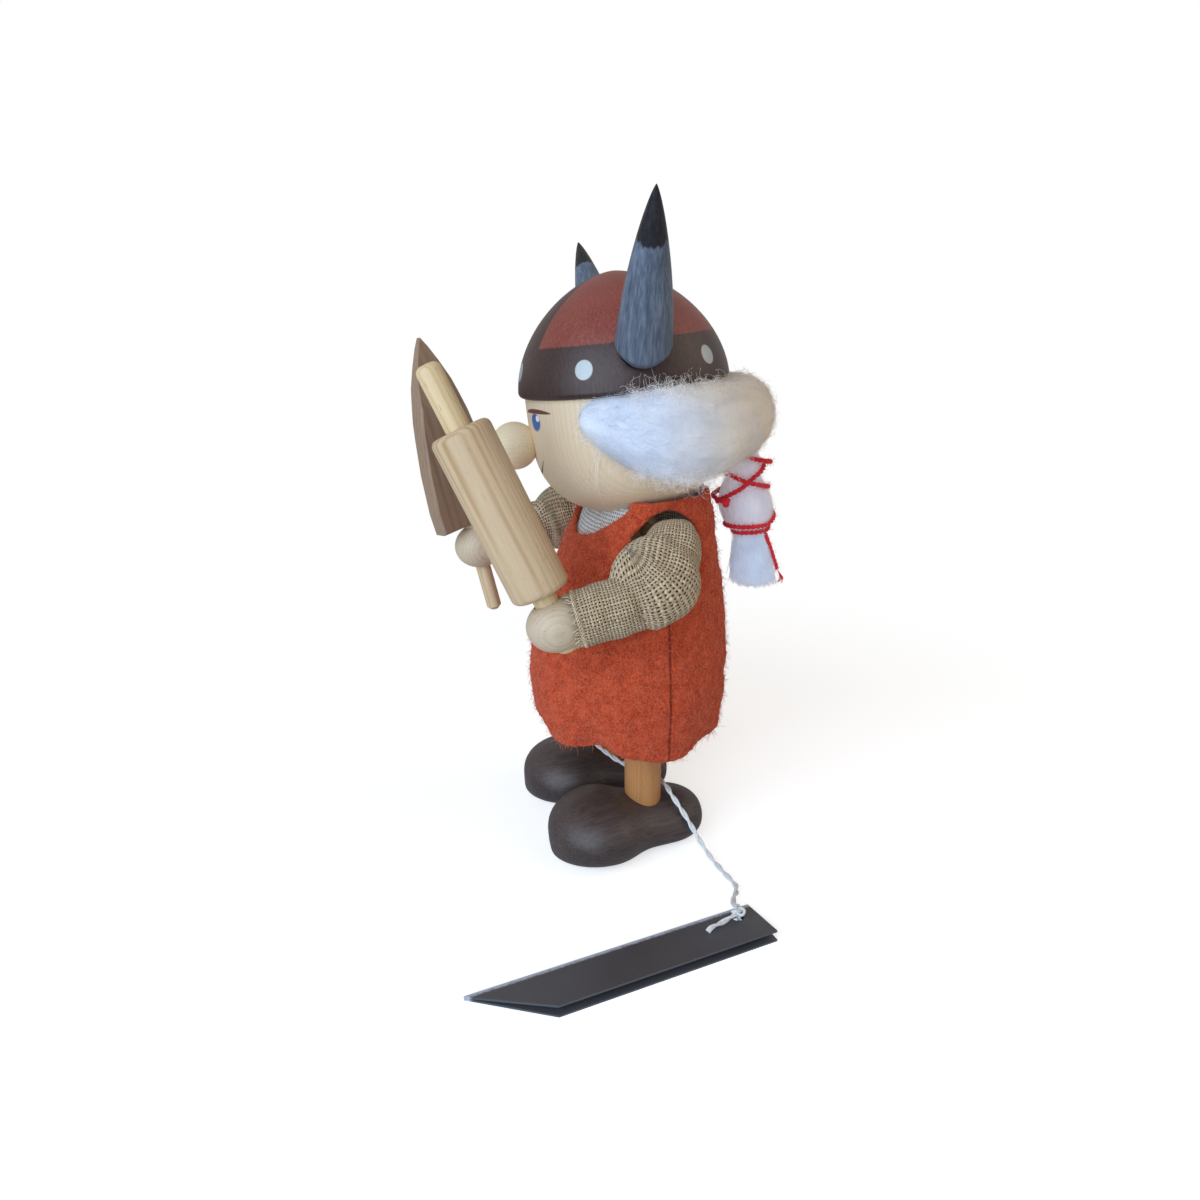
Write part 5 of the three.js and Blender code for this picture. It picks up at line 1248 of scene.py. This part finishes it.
def hair_point(share, turn, off=0.0):
    """A place on the hank: its share from one temple to the other, and the turn about its own middle."""
    angle = math.radians(HAIR_TEMPLE) * share
    after = next(k for k, shape in enumerate(HAIR_SHAPE) if shape[0] >= min(1.0, abs(share)) and k)
    low, high = HAIR_SHAPE[after - 1], HAIR_SHAPE[after]
    before, beyond = HAIR_SHAPE[max(0, after - 2)], HAIR_SHAPE[min(len(HAIR_SHAPE) - 1, after + 1)]
    span = high[0] - low[0]
    t = (min(1.0, abs(share)) - low[0]) / span
    reach = []
    for k in (1, 2, 3):
        rise = (high[k] - low[k]) / span
        start = 0.0 if before is low else (rise + (low[k] - before[k]) / (low[0] - before[0])) / 2
        end = rise if beyond is high else (rise + (beyond[k] - high[k]) / (beyond[0] - high[0])) / 2
        reach.append(0.001 * eased(t, low[k], high[k], span * start, span * end))
    outside, top, bottom = reach
    thick = 0.5 * (outside - HAIR_INSIDE) + off
    out = 0.5 * (outside + HAIR_INSIDE) + thick * math.cos(turn)
    height = 0.5 * (top + bottom) + (0.5 * (top - bottom) + off) * math.sin(turn)
    return Vector((out * math.sin(angle), out * math.cos(angle), height))


def wool_finish(name, shade, bright, warm=HANK_WARM_LIGHT, glow=0.0, hang=(1, 1, 1.6), fine=900):
    """Wool, faintly cool white in front and painted a warm cream behind, where the warm light from behind
    falls; below the hank it takes the given warm tint instead. Its glow is painted light that brightens the
    wool where it lies in shade.
    """
    made, tree = finish(name)
    flow = speckle(placed(tree, HEAD, hang), fine, 5, 0.6)
    cloud = speckle(placed(tree, HEAD), 130, 3)
    _, back, height = axes_of(placed(tree, HEAD))
    # Painted light: the wool turns from cool white in front to the warm light's cream behind.
    warm_light_share = ranged(back, 0.0, 0.03)
    warm_light_tint = mixed(ranged(height, -0.028, -0.022), tone(warm), tone(HANK_WARM_LIGHT))
    lit = mixed(warm_light_share, tone(bright), warm_light_tint)
    dim = mixed(warm_light_share, tone(shade), mixed(0.5, warm_light_tint, tone(shade)))
    colour = mixed(ramp(flow * 0.4 + cloud * 0.6, (0.3, 0.0), (0.62, 1.0)), dim, lit)
    return shaded(made, Base_Color=colour, Roughness=0.9, Specular_IOR_Level=0.15, Sheen_Weight=0.3,
                  Subsurface_Weight=0.7, Subsurface_Radius=[HANK_DEPTH] * 3, Subsurface_Scale=1.0,
                  Emission_Color=lit, Emission_Strength=glow, Normal=bumped(flow, 0.00012, 0.6))


wool = wool_finish("white_wool", 0xd6ddec, 0xe9effc)
bm = formed(56, 180, lambda across, along: hair_point(2 * along - 1, 2 * math.pi * across))
bmesh.ops.remove_doubles(bm, verts=bm.verts, dist=1e-6)
bmesh.ops.holes_fill(bm, edges=[edge for edge in bm.edges if edge.is_boundary], sides=0)
hair_mesh = mesh_of(bm, HEAD)
roughened(hair_mesh, (0.0005, 0.006), (0.00015, 0.0016))
piece("hair", hair_mesh, "head", wool, smooth=180)


def scattered(chance, spread):
    return Vector([chance.gauss(0, spread) for _ in range(3)])


def combed(seed, count, reach, off, wave, curl):
    """Fibres along the hank. Each keeps its own height off it, waves, and may curl away at its end."""
    chance = random.Random(seed)
    ways = []
    for _ in range(count):
        share, turn = chance.uniform(-0.97, 0.97), chance.uniform(-1.7, 1.75)
        span = reach * chance.uniform(0.5, 1.2) * chance.choice((-1, 1))
        drift = chance.gauss(0, 0.35)
        lift = off * chance.uniform(0.1, 1.0)
        ends = curl * chance.uniform(0, 1) ** 3
        seed_at = Vector([chance.uniform(-50, 50) for _ in range(3)])
        way = []
        for k in range(13):
            t = k / 12
            sway = noise.noise_vector(seed_at + Vector((5 * t, 0, 0)))
            here = hair_point(max(-0.985, min(0.985, share + span * t)), turn + drift * t + wave * sway.x,
                              lift + ends * t * t + 0.0003 * sway.y)
            loop = 5 * t + seed_at.x
            way.append(HEAD @ (here + 0.55 * ends * t * Vector((0, math.cos(loop), math.sin(loop)))))
        ways.append(way)
    return ways


def curls(seed, count):
    """Kinked fibres that stand out over the brim and under the hank, and stay off the helmet."""
    chance = random.Random(seed)
    ways = []
    for _ in range(count):
        over = chance.random() < 0.55
        share = chance.choice((-1, 1)) * chance.gauss(0.6, 0.12)
        share = max(-0.76, min(0.76, share))
        here = hair_point(share, (1.25 if over else -1.3) + chance.gauss(0, 0.22), 0.0001)
        outward = Vector((here.x, here.y, 0)).normalized()
        upward = Vector((chance.gauss(0, 0.6), chance.gauss(0, 0.6), 1 if over else -1))
        ahead = (upward + 0.7 * outward).normalized()
        axis = scattered(chance, 1).normalized()
        step = chance.uniform(0.00024, 0.0005)
        way = []
        for _ in range(15):
            if here.z > BRIM - 0.0005:
                flat = Vector((here.x, here.y, 0))
                here = here + max(0.0, DOME_RADIUS + BRIM_CLEAR - flat.length) * flat.normalized()
            way.append(HEAD @ here)
            axis = (axis + scattered(chance, 0.25)).normalized()
            ahead = (Matrix.Rotation(chance.uniform(0.2, 0.75), 3, axis) @ ahead).normalized()
            here = here + step * ahead
        ways.append(way)
    return ways


def temple_fibres(seed, count):
    """Fine fibres that feather the hank's ends out over the face."""
    chance = random.Random(seed)
    ways = []
    for _ in range(count):
        side = chance.choice((-1, 1))
        share = chance.uniform(0.72, 0.985)
        start = math.radians(HAIR_TEMPLE * share)
        root = hair_point(share, chance.choice((-1.3, 0.0, 1.2)) + chance.gauss(0, 0.5))
        forward_by, down = math.radians(8 * chance.random() ** 1.6 + 1), BRIM - root.z
        drop, off = chance.gauss(0.0006, 0.0016), chance.uniform(0.0001, 0.0009)
        way = []
        for k in range(8):
            t = k / 7
            low = down + drop * t * t
            out = face_reach(low) + 0.0004 + off * math.sin(3 * t)
            turn = side * (start + forward_by * t)
            way.append(HEAD @ Vector((out * math.sin(turn), out * math.cos(turn), BRIM - low)))
        ways.append(way)
    return ways


def face_strays(seed, count):
    """Single fibres that hang down the left cheek."""
    chance = random.Random(seed)
    ways = []
    for _ in range(count):
        angle, foot = math.radians(chance.uniform(52, 64)), chance.uniform(0.012, 0.026)
        swing = chance.uniform(-1, 1)
        way = []
        for k in range(13):
            t = k / 12
            down = 0.004 + foot * t
            out = face_reach(down) + 0.0002 + 0.0006 * t
            turn = angle + 0.06 * math.sin(4 * t + swing) + 0.02 * swing * t
            way.append(HEAD @ Vector((out * math.sin(turn), -out * math.cos(turn), BRIM - down)))
        ways.append(way)
    return ways


def behind_temples(place):
    here = HEAD.inverted() @ place
    return abs(math.atan2(here.x, here.y)) < math.radians(0.9 * HAIR_TEMPLE)


# The loose fibres glow a little: painted light that keeps them bright where they lie in shade.
loose_wool = wool_finish("loose_wool", 0xf0f4fc, 0xffffff, 0xfff8ee, 0.16)
for name, ways, radius, material in (
        ("close", surface_fibres(hair_mesh, CLOSE_FIBRES, 0.0038, 0.0008, 5, behind_temples), 0.00002, wool),
        ("combed", combed(2, COMBED_FIBRES, 0.30, 0.0006, 0.30, 0.0016), 0.000022, wool),
        ("curled", curls(3, CURLED_FIBRES), 0.000021, loose_wool),
        ("temple", temple_fibres(8, TEMPLE_FIBRES), 0.000015, loose_wool),
        ("stray", face_strays(9, STRAY_FIBRES), 0.00003, loose_wool)):
    piece(f"hair_{name}", strands(ways, radius, 0), "head", material, smooth=180)

# Braid. The wool's tail, gathered behind the head and bound with yarn into two bulbs, with its ends left
# loose below the tie. It turns with the head.
NECK = FIGURE @ Matrix.Rotation(math.radians(HEAD_TURN), 4, "Z")
BRAID_TOP, BRAID_BAND, BRAID_BOTTOM = 0.1035, 0.083, 0.0682
BRAID_ROOT = 0.114             # inside the hank
BRAID_TOP_BACK, BRAID_LEAN = 0.031, 0.0052
BRAID_RADIUS, BRAID_TIED, TASSEL_RADIUS = 0.0064, 0.0034, 0.0060
BRAID_NECK = 0.62              # share of its radius, where the upper and lower bulbs meet
BRAID_NECK_UP = BRAID_TOP - 0.28 * (BRAID_TOP - BRAID_BAND)
BRAID_FIBRES, TASSEL_FIBRES = 1100, 1500
BRAID_FIBRE_RADIUS, TASSEL_FIBRE_RADIUS = 0.000022, 0.00006


def braid_back(z):
    return (BRAID_TOP_BACK + BRAID_LEAN * (BRAID_TOP - z) / (BRAID_TOP - BRAID_BOTTOM)
            - 0.3 * max(0.0, z - BRAID_TOP))


def braid_radius(z):
    if z > BRAID_TOP:
        return BRAID_RADIUS * BRAID_NECK + 0.35 * (z - BRAID_TOP)
    if z > BRAID_NECK_UP:
        share = min(1.0, (z - BRAID_NECK_UP) / (BRAID_TOP - BRAID_NECK_UP))
        return BRAID_RADIUS * (BRAID_NECK + 0.16 * math.sin(math.pi * share) ** 0.8)
    if z > BRAID_BAND:
        share = (z - BRAID_BAND) / (BRAID_NECK_UP - BRAID_BAND)
        tied = BRAID_TIED * (1 - share) + BRAID_NECK * BRAID_RADIUS * share
        return tied + (1.06 * BRAID_RADIUS - tied) * math.sin(math.pi * share ** 0.9) ** 0.75
    share = (BRAID_BAND - z) / (BRAID_BAND - BRAID_BOTTOM)
    return BRAID_TIED + (TASSEL_RADIUS - BRAID_TIED) * min(1.0, share) ** 0.8


def beside_braid(out, turn, z):
    """A place that far out from the braid's own middle."""
    return NECK @ Vector((out * math.cos(turn), braid_back(z) + out * math.sin(turn), z))


def braid_point(across, along):
    """A place on the braid; the first and last tenths of the way close its ends."""
    z = BRAID_BOTTOM + (BRAID_ROOT - BRAID_BOTTOM) * min(1.0, max(0.0, (along - 0.1) / 0.8))
    turn = 2 * math.pi * across
    loose = max(0.0, BRAID_BAND - z) / (BRAID_BAND - BRAID_BOTTOM)
    closing = min(1.0, along / 0.1, (1 - along) / 0.1)
    radius = braid_radius(z) * (1 - 0.34 * loose + 0.07 * loose * math.cos(9 * turn)) * closing
    raised = 0.0015 * (1 - closing) * (1 if along > 0.5 else 0)
    return beside_braid(radius, turn, z) + Vector((0, 0, raised))


def wound_fibres(chance):
    """Short fibres that lie along the bulbs."""
    turn, high = chance.uniform(0, 2 * math.pi), chance.uniform(BRAID_BAND, BRAID_ROOT)
    long, drift, off = chance.uniform(0.005, 0.013), chance.gauss(0, 0.25), chance.uniform(0, 0.00045)
    stand = chance.uniform(0, 1) ** 4 * 0.0012
    way = []
    for t in [k / 8 for k in range(9)]:
        z = max(BRAID_BAND - 0.001, high - long * t)
        way.append(beside_braid(braid_radius(z) + off + stand * t * t, turn + drift * t, z))
    return way


def tassel_strand(chance):
    """A strand that hangs from the tie, wavy and spreading a little."""
    turn, inside = chance.uniform(0, 2 * math.pi), chance.uniform(0.3, 1.08) ** 0.5
    start = BRAID_BAND + chance.uniform(-0.001, 0.0015)
    end = BRAID_BOTTOM + chance.uniform(0, 1) ** 2 * 0.005
    drift, wave, seed_at = chance.gauss(0, 0.22), chance.uniform(0, 0.0005), chance.uniform(0, 90)
    spread = chance.uniform(-0.0003, 0.0009)
    way = []
    for t in [k / 10 for k in range(11)]:
        z = start + (end - start) * t
        out = (braid_radius(z) + spread * t) * inside + wave * math.sin(9 * t + seed_at)
        way.append(beside_braid(out, turn + drift * t + 0.08 * math.sin(7 * t + seed_at), z))
    return way


braid_mesh = mesh_of(formed(96, 120, braid_point))
roughened(braid_mesh, (0.00035, 0.003), (0.00012, 0.0009))
# The braid and the tassel glow: painted light that keeps them bright in the shade of the hank and the dress.
braid_wool = wool_finish("braid_wool", 0xb6c2da, 0xf2f7ff, 0xf0ecf2, 0.11, (1, 1, 0.05), 2400)
tassel_wool = wool_finish("tassel_wool", 0x7888b2, 0xf2f8ff, 0xe6f0ff, 0.15, (1, 1, 0.03), 3600)
piece("braid", braid_mesh, "head", braid_wool, smooth=180)
chance = random.Random(21)
fibres = [wound_fibres(chance) for _ in range(BRAID_FIBRES)]
tassel = [tassel_strand(chance) for _ in range(TASSEL_FIBRES)]
piece("braid_fibres", strands(fibres, BRAID_FIBRE_RADIUS, 0), "head", braid_wool, smooth=180)
piece("tassel", strands(tassel, TASSEL_FIBRE_RADIUS, 0), "head", tassel_wool, smooth=180)

# Yarn. One length of red wool yarn of two plies: a loose end beside the tassel, twice round the tie, up in a
# slack spiral and down again over itself, then a small knot and a frayed end.
YARN_RADIUS, YARN_LIFT, YARN_TWIST = 0.00065, 0.0019, 0.0026
YARN_START = 0.42 * math.pi
YARN_FACE, YARN_STEEP = -0.33, 0.85    # the side on which it climbs most steeply, and by how much
YARN_TIED, YARN_HIGH = BRAID_BAND + 0.0026, BRAID_TOP + 0.0002
YARN_UP, YARN_DOWN = 2, 4              # which of the legs below climb and come down
YARN_LEGS = [  # points, turns, height at its start and end, slack at its start
    (8, 0, BRAID_BOTTOM + 0.0038, BRAID_BAND - 0.001, 0.0006), (36, 1.89, BRAID_BAND - 0.001, YARN_TIED, 0),
    (28, 1.5, YARN_TIED, YARN_HIGH, 0), (8, 0.4, YARN_HIGH, YARN_HIGH, 0),
    (34, 1.855, YARN_HIGH, YARN_TIED + 0.0065, 0),
]
YARN_PLY_OUT, YARN_PLY_RADIUS = 0.00031, 0.00036
YARN_FUZZ = 2600
YARN_KNOT, YARN_KNOT_THREAD = 0.00032, 0.00042
YARN_END = [(0, 0, 0), (0.0006, 0.0012, -0.0026), (0.0002, 0.0006, -0.0042)]
YARN_END_FIBRES, YARN_END_RADIUS = 26, 0.00007


def yarn_places():
    """The yarn's middle line. Where it comes down over a turn that climbs, it lifts clear of it."""
    rows, angle = [], YARN_START
    for which, (steps, turns, low_end, high_end, slack) in enumerate(YARN_LEGS):
        whole = 2 * math.pi * turns
        for k in range(1 if which else 0, steps + 1):
            share = k / steps
            turn = whole * share
            if which in (YARN_UP, YARN_DOWN):
                sway, last = [math.sin(angle + on - YARN_FACE) - math.sin(angle - YARN_FACE)
                              for on in (turn, whole)]
                share = share + YARN_STEEP * (sway - share * last) / whole
            rows.append([angle + turn, low_end + (high_end - low_end) * share, slack * (1 - share), which])
        angle += whole
    climbing = [row for row in rows if row[3] == YARN_UP]
    for row in rows:
        for under in climbing if row[3] == YARN_DOWN else []:
            apart = abs((row[0] - under[0] + math.pi) % (2 * math.pi) - math.pi)
            near = math.hypot(apart * (BRAID_RADIUS + 0.001), row[1] - under[1]) / (5.2 * YARN_RADIUS)
            if near < 1:
                row[2] = max(row[2], YARN_LIFT * (0.5 + 0.5 * math.cos(math.pi * near ** 2)))
    return [beside_braid(braid_radius(z) + YARN_RADIUS + 0.0001 + lift, turn, z) for turn, z, lift, _ in rows]


red_yarn = thread_finish("red_yarn", 3800, 3, 0.6, (0.36, 0xcc1224), (0.64, 0xff3040), 0.00012,
                         Roughness=0.8, Sheen_Weight=0.4, Sheen_Tint=tone(0xf2a0a8))
yarn_way = smooth_way(yarn_places(), 620)
yarn = piece("braid_yarn", strands(two_plies(yarn_way, YARN_PLY_OUT, YARN_TWIST), YARN_PLY_RADIUS), "head",
             red_yarn, smooth=180)
fuzz = surface_fibres(yarn.data, YARN_FUZZ, 0.0012, 0.0006, 31)
tie = [yarn_way[-1] + place.zxy for place in overhand(YARN_KNOT)]
hanging = smooth_way([yarn_way[0] + Vector(place) for place in YARN_END], 24)
frayed = []
for _ in range(YARN_END_FIBRES):
    sway = Vector((chance.gauss(0, 0.0005), chance.gauss(0, 0.0007), 0))
    tip = chance.uniform(0.5, 1.0)
    frayed.append([place + sway * (j / 24) ** 1.5 for j, place in enumerate(hanging[:int(25 * tip)])])
for name, mesh in (("yarn_fuzz", strands(fuzz, 0.00002, 0)), ("yarn_knot", strands([tie], YARN_KNOT_THREAD)),
                   ("yarn_end", strands(frayed, YARN_END_RADIUS, 1))):
    piece(name, mesh, "head", red_yarn, smooth=180)
